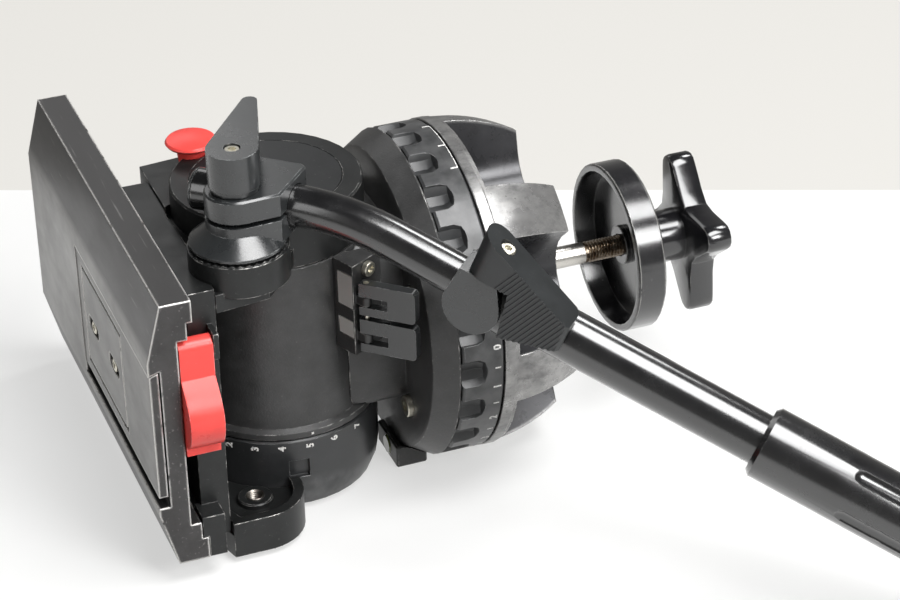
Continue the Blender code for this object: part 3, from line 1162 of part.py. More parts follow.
# Wing knob over the clamp: a hub with one blade that thins towards its tip
wing_along = (math.cos(WING_HEADING), math.sin(WING_HEADING), 0.0)
knob_frame = frame("wing_knob_frame", (EAR_X, EAR_Y, 0.0), wing_along, (0, 0, 1), axes)
knob_bottom = CLAMP_TOP + GAP
screw_floor = KNOB_TOP - WING_SCREW_SINK - WING_SCREW_HEIGHT
bolt_top = (knob_bottom + screw_floor) / 2.0
wing_outline = hull(disc_points((0.0, 0.0), KNOB_RADIUS, 24) + disc_points((WING_LENGTH, 0.0), WING_TIP_RADIUS, 12))
wing_end = WING_LENGTH + WING_TIP_RADIUS
wing_knob = add("wing_knob", prism(wing_outline, WING_BOTTOM, KNOB_TOP), BLACK_PLASTIC, knob_frame)
cut(wing_knob, tool("wing_underside", prism([(KNOB_RADIUS, WING_BOTTOM - OVERRUN),
                                             (wing_end + OVERRUN, WING_BOTTOM - OVERRUN),
                                             (wing_end + OVERRUN, WING_TIP_BOTTOM),
                                             (KNOB_RADIUS, WING_BOTTOM)],
                                            -2.0 * KNOB_RADIUS, 2.0 * KNOB_RADIUS, "xz"), knob_frame))
join(wing_knob, tool("knob_hub", rod(KNOB_RADIUS - EDGE, knob_bottom, WING_BOTTOM + SOFT_EDGE, steps=24), knob_frame))
cut(wing_knob, tool("wing_screw_sink", rod(WING_SCREW_RADIUS + GAP, screw_floor - GAP, KNOB_TOP + OVERRUN), knob_frame),
    tool("bolt_socket", rod(bolt_bore, knob_bottom - OVERRUN, bolt_top + GAP), knob_frame))
socket_screw("wing_screw", WING_SCREW_RADIUS, WING_SCREW_HEIGHT, knob_frame, base=screw_floor)
add("clamp_bolt", rod(BOLT_RADIUS, UPPER_EAR_BOTTOM, bolt_top, edge=GAP), STEEL, knob_frame)

# Telescope lock: a collar round both tubes, with a boss in front and the stud that the lever turns on
corner_frame = frame("bar_corner_frame", (BAR_CORNER, BAR_OFFSET, BAR_HEIGHT),
                     (math.cos(BAR_DROP), 0.0, -math.sin(BAR_DROP)), (0, 0, 1), bar_base)
telescope_lock = add("telescope_lock", rod(LOCK_RADIUS, LOCK_START, LOCK_END, "x", steps=32, edge=EDGE),
                     BLACK_PLASTIC, corner_frame)
boss_points = (disc_points((LOCK_BOSS_AT, 0.0), LOCK_BOSS_RADIUS, 24)
               + [(LOCK_BOSS_AT - LOCK_BOSS_RADIUS + SOFT_EDGE, LOCK_SHELF), (LOCK_SHELF_END, LOCK_SHELF)])
join(telescope_lock,
     tool("lock_boss", prism(hull(boss_points), LOCK_BOSS_FACE, 0.0, "xz"), corner_frame),
     tool("lever_stud", rod(PADDLE_STUD_RADIUS, 0.0, PADDLE_STUD_TOP, centre=(PADDLE_PIVOT_AT, PADDLE_PIVOT_SIDE)),
          corner_frame))
cut(telescope_lock,
    tool("lock_bore", rod(tube_bore, LOCK_START - 2.0 * OVERRUN, LOCK_END + OVERRUN, "x", steps=ROUND_STEPS), corner_frame),
    tool("lock_socket", rod(OUTER_TUBE_RADIUS + GAP, OUTER_TUBE_START - GAP, LOCK_END + OVERRUN, "x",
                            steps=ROUND_STEPS), corner_frame))

# Outer tube and its grip
grip_end = GRIP_START + GRIP_LENGTH
tube_end = grip_end - GRIP_END_WALL
outer_profile = [(tube_bore, OUTER_TUBE_START),
                 (OUTER_TUBE_RADIUS, OUTER_TUBE_START),
                 (OUTER_TUBE_RADIUS, tube_end),
                 (tube_bore, tube_end)]
add("outer_tube", turned(outer_profile, ROUND_STEPS, "x"), GLOSS_BLACK, corner_frame)
grip_bore = OUTER_TUBE_RADIUS + GAP
grip_profile = [(grip_bore, GRIP_START),
                (GRIP_RADIUS - SOFT_EDGE, GRIP_START),
                (GRIP_RADIUS, GRIP_START + SOFT_EDGE),
                (GRIP_RADIUS, grip_end - GRIP_END_ROUND),
                (GRIP_RADIUS - GRIP_END_ROUND / 3.0, grip_end - GRIP_END_ROUND / 3.0),
                (GRIP_RADIUS - GRIP_END_ROUND, grip_end),
                (0.0, grip_end),
                (0.0, tube_end + GAP),
                (grip_bore, tube_end + GAP)]
bar_grip = add("bar_grip", turned(grip_profile, 32, "x"), GLOSS_BLACK, corner_frame)


def flutes():
    """Long round-ended grooves spaced round the grip."""
    shape = bmesh.new()
    start = GRIP_START + FLUTE_START
    end = start + FLUTE_LENGTH
    reach = GRIP_RADIUS - FLUTE_DEPTH + FLUTE_RADIUS
    profile = [(0.0, start)]
    profile += [(FLUTE_RADIUS * math.sin(turn), start + FLUTE_RADIUS * (1.0 - math.cos(turn)))
                for turn in (math.pi / 6.0, math.pi / 3.0, math.pi / 2.0)]
    profile += [(FLUTE_RADIUS * math.sin(turn), end - FLUTE_RADIUS * (1.0 - math.cos(turn)))
                for turn in (math.pi / 2.0, math.pi / 3.0, math.pi / 6.0)]
    profile.append((0.0, end))
    for number in range(FLUTE_COUNT):
        groove = turned(profile, 12, "x")
        angle = FLUTE_ANGLE + TURN * number / FLUTE_COUNT
        bmesh.ops.translate(groove, verts=groove.verts[:], vec=on_axis(reach, angle, 0.0, "x"))
        merge(shape, groove)
    return shape


cut(bar_grip, tool("flute_cutters", flutes(), corner_frame))

# Telescope lever: a tall ribbed paddle whose foot hangs in front of the tubes
paddle_frame = frame("paddle_pivot", (PADDLE_PIVOT_AT, PADDLE_PIVOT_SIDE, 0.0), (1, 0, 0), (0, 0, 1), corner_frame)
heel_centre = (PADDLE_HEEL + PADDLE_HALF_WIDTH, 0.0)
paddle_plan = hull(disc_points(heel_centre, PADDLE_HALF_WIDTH, 24)
                   + [(PADDLE_TIP - SOFT_EDGE, -PADDLE_HALF_WIDTH), (PADDLE_TIP, -PADDLE_HALF_WIDTH + SOFT_EDGE),
                      (PADDLE_TIP, PADDLE_HALF_WIDTH - SOFT_EDGE), (PADDLE_TIP - SOFT_EDGE, PADDLE_HALF_WIDTH)])
paddle_slope = (PADDLE_TIP_TOP - PADDLE_HEEL_TOP) / (PADDLE_TIP - PADDLE_HEEL)
beyond_heel = PADDLE_HEEL - OVERRUN
beyond_tip = PADDLE_TIP + OVERRUN
above = PADDLE_HEEL_TOP + 2.0 * OVERRUN
below = PADDLE_BELLY_BOTTOM - OVERRUN
paddle_under = [(beyond_heel, below),
                (beyond_tip, below),
                (beyond_tip, PADDLE_TIP_BOTTOM),
                (PADDLE_BELLY_AT, PADDLE_BELLY_BOTTOM),
                (PADDLE_BELLY_TOP_AT, LOCK_SHELF + RUNNING_GAP),
                (beyond_heel, LOCK_SHELF + RUNNING_GAP)]
paddle_over = [(beyond_heel, PADDLE_HEEL_TOP - paddle_slope * OVERRUN),
               (beyond_tip, PADDLE_TIP_TOP + paddle_slope * OVERRUN),
               (beyond_tip, above),
               (beyond_heel, above)]
telescope_lever = add("telescope_lever", prism(paddle_plan, PADDLE_BELLY_BOTTOM, PADDLE_HEEL_TOP), BLACK_PLASTIC,
                      paddle_frame)
side = 2.0 * PADDLE_HALF_WIDTH


def paddle_ribs():
    """Grip grooves down the lever's broad front face, square to its sloping top."""
    shape = bmesh.new()
    first = PADDLE_RIB_FIRST
    pitch = (PADDLE_TIP - SOFT_EDGE - first) / PADDLE_RIB_COUNT
    for number in range(PADDLE_RIB_COUNT):
        start = first + pitch * number
        lean = -paddle_slope * side
        groove = [(start - lean, -side), (start + pitch / 2.0 - lean, -side),
                  (start + pitch / 2.0 + 2.0 * lean, 2.0 * side), (start + 2.0 * lean, 2.0 * side)]
        merge(shape, prism(groove, -PADDLE_HALF_WIDTH - OVERRUN, -PADDLE_HALF_WIDTH + PADDLE_RIB_DEPTH, "xz"))
    return shape


stud_bore = PADDLE_STUD_RADIUS + GAP
sink_floor = PADDLE_HEEL_TOP + paddle_slope * (-PADDLE_HEEL) - PADDLE_SCREW_HEIGHT - PADDLE_SCREW_SINK
cut(telescope_lever,
    tool("paddle_underside", prism(paddle_under, -side, side, "xz"), paddle_frame),
    tool("paddle_upperside", prism(paddle_over, -side, side, "xz"), paddle_frame),
    tool("collar_relief", rod(LOCK_RADIUS + RUNNING_GAP, beyond_heel - OVERRUN, beyond_tip + OVERRUN, "x",
                              (-PADDLE_PIVOT_SIDE, 0.0), steps=32), paddle_frame),
    tool("paddle_rib_cutters", paddle_ribs(), paddle_frame),
    tool("paddle_stud_bore", rod(stud_bore, 0.0, PADDLE_STUD_TOP + GAP), paddle_frame),
    tool("paddle_screw_sink", rod(PADDLE_SCREW_RADIUS + GAP, sink_floor, PADDLE_HEEL_TOP + OVERRUN), paddle_frame))
socket_screw("lever_screw", PADDLE_SCREW_RADIUS, PADDLE_SCREW_HEIGHT, paddle_frame, base=sink_floor + GAP)

# Tie-down cup and star knob
cup_bore = STUD_RADIUS + GAP
cup_profile = [(cup_bore, CUP_BACK - CUP_FLOOR - CUP_BOSS_HEIGHT),
               (CUP_BOSS_RADIUS, CUP_BACK - CUP_FLOOR - CUP_BOSS_HEIGHT),
               (CUP_BOSS_RADIUS, CUP_BACK - CUP_FLOOR),
               (CUP_RADIUS - CUP_WALL - SOFT_EDGE, CUP_BACK - CUP_FLOOR),
               (CUP_RADIUS - CUP_WALL, CUP_FRONT),
               (CUP_RADIUS - EDGE, CUP_FRONT),
               (CUP_RADIUS, CUP_FRONT + EDGE),
               (CUP_RADIUS, CUP_BACK - EDGE),
               (CUP_RADIUS - EDGE, CUP_BACK),
               (cup_bore, CUP_BACK)]
add("tie_down_cup", turned(cup_profile, FINE_STEPS, "x"), GLOSS_BLACK, axes)


def star_outline():
    """Four arms with rounded tips and hollow flanks between them."""
    outline = []
    quarter = TURN / 4.0
    for number in range(4):
        angle = STAR_ANGLE + quarter * number
        tip = (math.cos(angle) * (STAR_RADIUS - STAR_TIP_HALF), math.sin(angle) * (STAR_RADIUS - STAR_TIP_HALF))
        outline += arc(tip, STAR_TIP_HALF, angle - STAR_TIP_SWEEP, angle + STAR_TIP_SWEEP, 6)
        between = angle + quarter / 2.0
        for share in (-1.0, 0.0, 1.0):
            turn = between + share * STAR_WAIST_SWEEP
            reach = STAR_WAIST + abs(share) * STAR_WAIST_FLARE
            outline.append((math.cos(turn) * reach, math.sin(turn) * reach))
    return [(-a, b) for a, b in outline]


star_knob = add("star_knob", prism(star_outline(), STAR_START, STAR_END, "yz"), GLOSS_BLACK, axes)
soften(star_knob, SOFT_EDGE, 50.0 * DEGREE, 2)
join(star_knob, tool("star_hub", rod(STAR_HUB_RADIUS, CUP_BACK + GAP, STAR_START + OVERRUN, "x", steps=32, edge=EDGE), axes))
cut(star_knob, tool("stud_bore", rod(STUD_RADIUS + GAP, CUP_BACK - OVERRUN, STUD_END + TIE_DOWN_TRAVEL + OVERRUN, "x",
                                steps=ROUND_STEPS), axes))
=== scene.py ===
"""Fluid video head with a half ball, a tie-down knob and a telescopic pan bar, lying on a white cloth."""
import math

import bmesh
import bpy
from mathutils import Matrix, Vector


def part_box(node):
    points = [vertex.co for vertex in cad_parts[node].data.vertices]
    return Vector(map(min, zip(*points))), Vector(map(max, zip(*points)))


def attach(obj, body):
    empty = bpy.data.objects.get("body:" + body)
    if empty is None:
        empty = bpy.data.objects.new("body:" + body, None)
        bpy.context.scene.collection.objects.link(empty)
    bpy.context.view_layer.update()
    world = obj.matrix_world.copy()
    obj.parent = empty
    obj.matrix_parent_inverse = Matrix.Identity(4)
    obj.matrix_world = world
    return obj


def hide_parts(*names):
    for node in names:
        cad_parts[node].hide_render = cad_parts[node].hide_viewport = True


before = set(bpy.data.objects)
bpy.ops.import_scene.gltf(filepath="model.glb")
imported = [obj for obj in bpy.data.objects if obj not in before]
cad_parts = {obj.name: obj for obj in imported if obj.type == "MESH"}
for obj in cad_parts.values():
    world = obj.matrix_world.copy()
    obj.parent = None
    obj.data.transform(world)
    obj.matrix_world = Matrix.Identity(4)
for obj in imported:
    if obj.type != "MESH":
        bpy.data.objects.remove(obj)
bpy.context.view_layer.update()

# The camera stands in front of the head, above it and to its left, and looks down on it through
# a long lens. Its place and its turn were fitted to the object's own edges in the photograph.
# The sensor and the lens are in millimetres, which is the camera's own unit.
MM = 0.001
SENSOR = 36.0
LENS = 116.2
CAMERA_PLACE = (-308.0 * MM, -1064.1 * MM, 739.8 * MM)
CAMERA_HEADING = math.radians(-20.19)
CAMERA_RISE = math.radians(30.75)
CAMERA_ROLL = math.radians(-1.41)

scene = bpy.context.scene
scene.view_settings.view_transform = "Standard"
lens = bpy.data.cameras.new("camera")
lens.sensor_width = SENSOR
lens.lens = LENS
camera = bpy.data.objects.new("camera", lens)
turn = Matrix.Rotation(CAMERA_HEADING, 4, "Z") @ Matrix.Rotation(math.pi / 2 - CAMERA_RISE, 4, "X")
camera.matrix_world = Matrix.Translation(CAMERA_PLACE) @ turn @ Matrix.Rotation(CAMERA_ROLL, 4, "Z")
scene.collection.objects.link(camera)
scene.camera = camera

# Daylight from a white studio: pale all round, darker overhead. The camera and glass see the
# pale wall at full strength; what is matt or shiny gets less of it, so that black stays black.
ROOM_PALE = "#f0eeea"
ROOM_OVERHEAD = "#858587"
ROOM_LIGHT = 0.28
ROOM_TOP_SHARE = 0.8


def linear(code):
    """The linear colour of an sRGB hex value."""
    parts = [int(code[at:at + 2], 16) / 255 for at in (1, 3, 5)]
    return tuple(p / 12.92 if p <= 0.04045 else ((p + 0.055) / 1.055) ** 2.4 for p in parts) + (1.0,)


def add(tree, kind, settings=None, links=None):
    """Adds a node; a setting or a link goes to the input of that name or number, or to the node itself."""
    node = tree.nodes.new(kind)
    for key, value in (settings or {}).items():
        if isinstance(key, int) or key in node.inputs:
            node.inputs[key].default_value = value
        else:
            setattr(node, key, value)
    for key, source in (links or {}).items():
        tree.links.new(source, node.inputs[key])
    return node


world = bpy.data.worlds.new("pale room")
world.use_nodes = True
scene.world = world
tree = world.node_tree
tree.nodes.clear()
way = add(tree, "ShaderNodeTexCoord")
height = add(tree, "ShaderNodeSeparateXYZ", links={0: way.outputs["Generated"]})
rise = add(tree, "ShaderNodeMapRange", {"From Max": ROOM_TOP_SHARE}, {"Value": height.outputs["Z"]})
tone = add(tree, "ShaderNodeMix", {"data_type": "RGBA", 6: linear(ROOM_PALE), 7: linear(ROOM_OVERHEAD)},
           {0: rise.outputs[0]})
lit = add(tree, "ShaderNodeBackground", {"Strength": ROOM_LIGHT}, {"Color": tone.outputs[2]})
seen = add(tree, "ShaderNodeBackground", {"Color": linear(ROOM_PALE), "Strength": 1.0})
ray = add(tree, "ShaderNodeLightPath")
either = add(tree, "ShaderNodeMath", {"operation": "MAXIMUM"},
             {0: ray.outputs["Is Camera Ray"], 1: ray.outputs["Is Transmission Ray"]})
sky = add(tree, "ShaderNodeMixShader", links={0: either.outputs[0], 1: lit.outputs[0], 2: seen.outputs[0]})
add(tree, "ShaderNodeOutputWorld", links={"Surface": sky.outputs[0]})

# Lamps: a wide softbox overhead, which the bar, the ball and the platform mirror, one in front
# for the cup, a small one high on the right for the knob, and weak ones to the left and behind.
# Each has its direction from the head, its distance, width and height, and its radiance.
AIM = Vector((40.0 * MM, -60.0 * MM, 80.0 * MM))
SOFTBOXES = (
    ("overhead softbox", (0.22, -0.34, 0.90), 1400.0 * MM, 950.0 * MM, 600.0 * MM, 12.0),
    ("front softbox", (0.31, -0.75, 0.55), 1500.0 * MM, 550.0 * MM, 500.0 * MM, 17.0),
    ("key softbox", (0.57, 0.33, 0.71), 1400.0 * MM, 300.0 * MM, 300.0 * MM, 14.0),
    ("left softbox", (-0.85, -0.30, 0.50), 1400.0 * MM, 500.0 * MM, 800.0 * MM, 2.2),
    ("back softbox", (-0.05, 0.85, 0.55), 1500.0 * MM, 800.0 * MM, 500.0 * MM, 1.4),
)

for name, direction, distance, wide, tall, radiance in SOFTBOXES:
    lamp = bpy.data.lights.new(name, "AREA")
    lamp.shape = "RECTANGLE"
    lamp.size = wide
    lamp.size_y = tall
    lamp.energy = radiance * math.pi * wide * tall
    holder = bpy.data.objects.new(name, lamp)
    toward = Vector(direction).normalized()
    holder.location = AIM + toward * distance
    holder.rotation_mode = "QUATERNION"
    holder.rotation_quaternion = (-toward).to_track_quat("-Z", "Y")
    scene.collection.objects.link(holder)

# White table cloth of plain cotton under the head, matt, with long shallow folds. It ends behind
# the head in a straight hem, and past it a pale ground stands for the studio's painted wall.
CLOTH_LEFT = -1400.0 * MM
CLOTH_RIGHT = 1500.0 * MM
CLOTH_NEAR = -1900.0 * MM
CLOTH_HEM = ((CLOTH_RIGHT, -361.0 * MM), (380.9 * MM, 116.3 * MM), (162.1 * MM, 209.8 * MM),
             (-59.8 * MM, 304.6 * MM), (CLOTH_LEFT, 872.0 * MM))
CLOTH_DROP = 0.05 * MM
CLOTH_WHITE = "#fdfdfc"
FOLD_SPACING = 90.0 * MM
FOLD_HEIGHT = 5.0 * MM
GROUND_REACH = 6000.0 * MM
GROUND_DROP = 1.5 * MM
WALL_PALE = "#edebe6"


def empty_material(name):
    """A new material, its emptied node tree and the object's own coordinates."""
    material = bpy.data.materials.new(name)
    material.use_nodes = True
    tree = material.node_tree
    tree.nodes.clear()
    return material, tree, add(tree, "ShaderNodeTexCoord").outputs["Object"]


def pale(name, colour, lit_share, glow_share, mirrored_share, fold_height):
    """A matt pale surface of the stage.

    The lamps light its lit share, the camera sees its glow share on top, and shiny faces see the
    mirrored share of that glow.
    """
    material, tree, place = empty_material(name)
    folds = add(tree, "ShaderNodeTexNoise", {"Scale": 1.0 / FOLD_SPACING, "Detail": 2.0}, {"Vector": place})
    bump = add(tree, "ShaderNodeBump", {"Distance": fold_height}, {"Height": folds.outputs[0]})
    lit_colour = [lit_share * part for part in linear(colour)[:3]] + [1.0]
    matt = add(tree, "ShaderNodeBsdfDiffuse", {"Color": lit_colour}, {"Normal": bump.outputs[0]})
    ray = add(tree, "ShaderNodeLightPath")
    mirrored = add(tree, "ShaderNodeMath", {"operation": "MULTIPLY", 1: mirrored_share},
                   {0: ray.outputs["Is Glossy Ray"]})
    shown = add(tree, "ShaderNodeMath", {"operation": "MAXIMUM"},
                {0: ray.outputs["Is Camera Ray"], 1: mirrored.outputs[0]})
    strength = add(tree, "ShaderNodeMath", {"operation": "MULTIPLY", 1: glow_share}, {0: shown.outputs[0]})
    glow = add(tree, "ShaderNodeEmission", {"Color": linear(colour)}, {"Strength": strength.outputs[0]})
    both = add(tree, "ShaderNodeAddShader", links={0: matt.outputs[0], 1: glow.outputs[0]})
    add(tree, "ShaderNodeOutputMaterial", links={"Surface": both.outputs[0]})
    return material


def sheet(name, outline, z, material):
    """A flat sheet of the stage."""
    mesh = bpy.data.meshes.new(name)
    mesh.from_pydata([(x, y, z) for x, y in outline], [], [list(range(len(outline)))])
    mesh.materials.append(material)
    item = bpy.data.objects.new(name, mesh)
    scene.collection.objects.link(item)
    return item


cotton = pale("white cotton cloth", CLOTH_WHITE, lit_share=0.40, glow_share=0.56, mirrored_share=1.0,
              fold_height=FOLD_HEIGHT)
cloth = sheet("table_cloth", [(CLOTH_LEFT, CLOTH_NEAR), (CLOTH_RIGHT, CLOTH_NEAR), *CLOTH_HEM],
              -CLOTH_DROP, cotton)
painted_wall = pale("painted wall", WALL_PALE, lit_share=0.19, glow_share=0.77, mirrored_share=0.25,
                    fold_height=0.0)
ground = sheet("pale_ground", [(-GROUND_REACH, -GROUND_REACH), (GROUND_REACH, -GROUND_REACH),
                               (GROUND_REACH, GROUND_REACH), (-GROUND_REACH, GROUND_REACH)],
               -GROUND_DROP, painted_wall)

# Half ball: a cast aluminium bowl with six raised lobes, turned on its flange and hard anodised
# black. Years in a tripod bowl have polished the lobes and the flange's edge to bright metal.
# The grain of its casting is drawn coarser than the real one, so that it shows.
BALL_CENTRE = (82.5 * MM, 0.0, 75.4 * MM)
BALL_RADIUS = 75.0 * MM
CAST_GRAIN = 0.55 * MM
CAST_RELIEF = 0.012 * MM
CAST_WEAR = 0.7 * MM
BOWL_RUB_DEPTH = 1.6 * MM
BOWL_RUB_FULL_DEPTH = 0.2 * MM
BOWL_RUB_PATCH = 20.0 * MM
BOWL_RUB_STRETCH = (0.6, 1.0, 1.0)
BOWL_RUB_LEVEL = 0.38
BOWL_RUB_SHARES = (0.16, 0.85)
SHARP_DEGREES = 32.0
FACET_JOIN = 0.002 * MM


def smoother(crease):
    """Node group that shades a mesh smooth but for the edges sharper than the crease, in degrees."""
    group = bpy.data.node_groups.new(f"smooth under {round(crease)} degrees", "GeometryNodeTree")
    group.interface.new_socket("Geometry", in_out="INPUT", socket_type="NodeSocketGeometry")
    group.interface.new_socket("Geometry", in_out="OUTPUT", socket_type="NodeSocketGeometry")
    entry = add(group, "NodeGroupInput")
    angle = add(group, "GeometryNodeInputMeshEdgeAngle")
    soft = add(group, "FunctionNodeCompare",
               {"data_type": "FLOAT", "operation": "LESS_EQUAL", 1: math.radians(crease)},
               {0: angle.outputs["Unsigned Angle"]})
    faces = add(group, "GeometryNodeSetShadeSmooth", {"domain": "FACE"}, {0: entry.outputs[0]})
    edges = add(group, "GeometryNodeSetShadeSmooth", {"domain": "EDGE"},
                {0: faces.outputs[0], "Shade Smooth": soft.outputs[0]})
    add(group, "NodeGroupOutput", links={0: edges.outputs[0]})
    return group


smooth_faces = smoother(SHARP_DEGREES)


def dress(material, *names):
    """Gives CAD nodes their finish: joins their facets and shades all but the sharp edges smooth."""
    for name in names:
        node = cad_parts[name]
        normals = node.data.attributes.get("custom_normal")
        if normals:
            node.data.attributes.remove(normals)
        node.data.materials.clear()
        node.data.materials.append(material)
        weld = node.modifiers.new("joined facets", "WELD")
        weld.merge_threshold = FACET_JOIN
        shade = node.modifiers.new("smooth", "NODES")
        shade.node_group = smooth_faces


# What all worn coats share: the size of their tone's patches, chips and dust specks, how near a
# corner has to be to stay unrubbed, and the spans of noise, bend and openness that are read.
# Chips and specks are drawn coarser than the real ones, so that they show.
TONE_PATCH = 14.0 * MM
CHIP_SIZE = 6.0 * MM
DUST_SIZE = 1.6 * MM
DUST_GREY = "#a9a7a3"
CORNER_REACH = 2.0 * MM
NOISE_LOW = 0.3
NOISE_HIGH = 0.7
CHIP_LEVEL = 0.64
CHIP_LEVEL_FALL = 0.28
CHIP_SOFTNESS = 0.13
DUST_LEVEL = 0.62
DUST_FULL_LEVEL = 0.72
FLAT_COSINE = 0.985
EDGE_COSINE = 0.88
CORNER_OPENNESS = 0.72
OUTER_OPENNESS = 0.92
SHINE_BELOW = 0.06
SHINE_ABOVE = 0.07
CLEAR_FILM_IOR = 1.65
CLEAR_FILM_ROUGH_SHARE = 0.7


def worn_coat(name, coat, rough, grain, relief, wear, bare="#d4d2ce", gone=0.5, mottle=(0.8, 1.25),
              streak=(1.0, 1.0, 1.0), coat_metal=0.0, bare_metal=0.6, dust=0.2, clear=0.0, rubbed=None):
    """A dark coat over bright metal: grained, uneven in its shine and rubbed through along its edges.

    grain is the size of the surface's bumps and relief their height; wear is how far the rubbing
    reaches from an edge, and gone how much of the edge it has taken, from below 0, next to none,
    to above 1, nearly all; mottle is the coat's darkest and lightest tone, streak stretches its
    patches along each axis, coat_metal and bare_metal are how metallic the coat and the bare
    places look, dust is how strongly pale specks show, clear is the weight of a glossy film on
    top, and rubbed is a function that adds to the bare places: more wear on the ball, a painted sheen on the
    ring, and scratches with a painted sheen on the platform.
    """
    material, tree, place = empty_material(name)
    fine = add(tree, "ShaderNodeTexNoise", {"Scale": 1.0 / grain, "Detail": 3.0}, {"Vector": place})
    lie = add(tree, "ShaderNodeMapping", {"Scale": streak}, {"Vector": place})
    smear = add(tree, "ShaderNodeTexNoise", {"Scale": 1.0 / TONE_PATCH, "Detail": 5.0, "Roughness": 0.65},
                {"Vector": lie.outputs[0]})
    chips = add(tree, "ShaderNodeTexNoise", {"Scale": 1.0 / CHIP_SIZE, "Detail": 6.0, "Roughness": 0.62},
                {"Vector": place})
    specks = add(tree, "ShaderNodeTexNoise", {"Scale": 1.0 / DUST_SIZE, "Detail": 6.0, "Roughness": 0.8},
                 {"Vector": place})

    # Wear: chips where the surface bends at an outer edge, and what the rubbing function adds, which on the
    # ring and the platform is also a painted sheen.
    round_edge = add(tree, "ShaderNodeBevel", {"samples": 6, "Radius": wear})
    face = add(tree, "ShaderNodeNewGeometry")
    bend = add(tree, "ShaderNodeVectorMath", {"operation": "DOT_PRODUCT"},
               {0: round_edge.outputs[0], 1: face.outputs["Normal"]})
    edge = add(tree, "ShaderNodeMapRange", {"From Min": FLAT_COSINE, "From Max": EDGE_COSINE},
               {"Value": bend.outputs["Value"]})
    chip_start = CHIP_LEVEL - CHIP_LEVEL_FALL * gone
    chip = add(tree, "ShaderNodeMapRange", {"From Min": chip_start, "From Max": chip_start + CHIP_SOFTNESS},
               {"Value": chips.outputs[0]})
    open_air = add(tree, "ShaderNodeAmbientOcclusion", {"samples": 4, "Distance": CORNER_REACH})
    outer = add(tree, "ShaderNodeMapRange", {"From Min": CORNER_OPENNESS, "From Max": OUTER_OPENNESS},
                {"Value": open_air.outputs["AO"]})
    chipped = add(tree, "ShaderNodeMath", {"operation": "MULTIPLY"}, {0: edge.outputs[0], 1: chip.outputs[0]})
    worn = add(tree, "ShaderNodeMath", {"operation": "MULTIPLY"},
               {0: chipped.outputs[0], 1: outer.outputs[0]})
    if rubbed:
        worn = add(tree, "ShaderNodeMath", {"operation": "MAXIMUM"},
                   {0: worn.outputs[0], 1: rubbed(tree, place).outputs[0]})

    # Colour: the coat in its patches, dusted with specks, and the bare colour where it is worn and where a
    # painted sheen is laid.
    tone = add(tree, "ShaderNodeMapRange",
               {"From Min": NOISE_LOW, "From Max": NOISE_HIGH, "To Min": mottle[0], "To Max": mottle[1]},
               {"Value": smear.outputs[0]})
    toned = add(tree, "ShaderNodeHueSaturation", {"Color": linear(coat)}, {"Value": tone.outputs[0]})
    dusty = add(tree, "ShaderNodeMapRange",
                {"From Min": DUST_LEVEL, "From Max": DUST_FULL_LEVEL, "To Max": dust},
                {"Value": specks.outputs[0]})
    dusted = add(tree, "ShaderNodeMix", {"data_type": "RGBA", 7: linear(DUST_GREY)},
                 {0: dusty.outputs[0], 6: toned.outputs[0]})
    colour = add(tree, "ShaderNodeMix", {"data_type": "RGBA", 7: linear(bare)},
                 {0: worn.outputs[0], 6: dusted.outputs[2]})

    shine = add(tree, "ShaderNodeMapRange",
                {"From Min": NOISE_LOW, "From Max": NOISE_HIGH,
                 "To Min": rough - SHINE_BELOW, "To Max": rough + SHINE_ABOVE},
                {"Value": smear.outputs[0]})
    bump = add(tree, "ShaderNodeBump", {"Distance": relief},
               {"Height": fine.outputs[0], "Normal": round_edge.outputs[0]})
    metallic = add(tree, "ShaderNodeMapRange", {"To Min": coat_metal, "To Max": bare_metal},
                   {"Value": worn.outputs[0]})
    surface = add(tree, "ShaderNodeBsdfPrincipled",
                  {"Coat Weight": clear, "Coat Roughness": CLEAR_FILM_ROUGH_SHARE * rough,
                   "Coat IOR": CLEAR_FILM_IOR},
                  {"Base Color": colour.outputs[2], "Metallic": metallic.outputs[0],
                   "Roughness": shine.outputs[0], "Normal": bump.outputs[0]})
    add(tree, "ShaderNodeOutputMaterial", links={"Surface": surface.outputs[0]})
    return material


def bowl_rub(tree, place):
    """The rub of the tripod's bowl: scratched metal where the ball's skin stands furthest out."""
    reach = add(tree, "ShaderNodeVectorMath", {"operation": "DISTANCE", 1: BALL_CENTRE}, {0: place})
    skin = add(tree, "ShaderNodeMapRange",
               {"From Min": BALL_RADIUS - BOWL_RUB_DEPTH, "From Max": BALL_RADIUS - BOWL_RUB_FULL_DEPTH},
               {"Value": reach.outputs["Value"]})
    lie = add(tree, "ShaderNodeMapping", {"Scale": BOWL_RUB_STRETCH}, {"Vector": place})
    patches = add(tree, "ShaderNodeTexNoise",
                  {"Scale": 1.0 / BOWL_RUB_PATCH, "Detail": 12.0, "Roughness": 0.78},
                  {"Vector": lie.outputs[0]})
    bare = add(tree, "ShaderNodeMapRange",
               {"From Min": BOWL_RUB_LEVEL, "From Max": NOISE_HIGH,
                "To Min": BOWL_RUB_SHARES[0], "To Max": BOWL_RUB_SHARES[1]}, {"Value": patches.outputs[0]})
    return add(tree, "ShaderNodeMath", {"operation": "MULTIPLY"}, {0: skin.outputs[0], 1: bare.outputs[0]})


hard_anodised = worn_coat("hard anodised cast aluminium", "#353537", rough=0.28, grain=CAST_GRAIN,
                          relief=CAST_RELIEF, wear=CAST_WEAR, bare="#c9c8c6", gone=0.75, coat_metal=0.4,
                          bare_metal=0.85, rubbed=bowl_rub)
dress(hard_anodised, "half_ball")

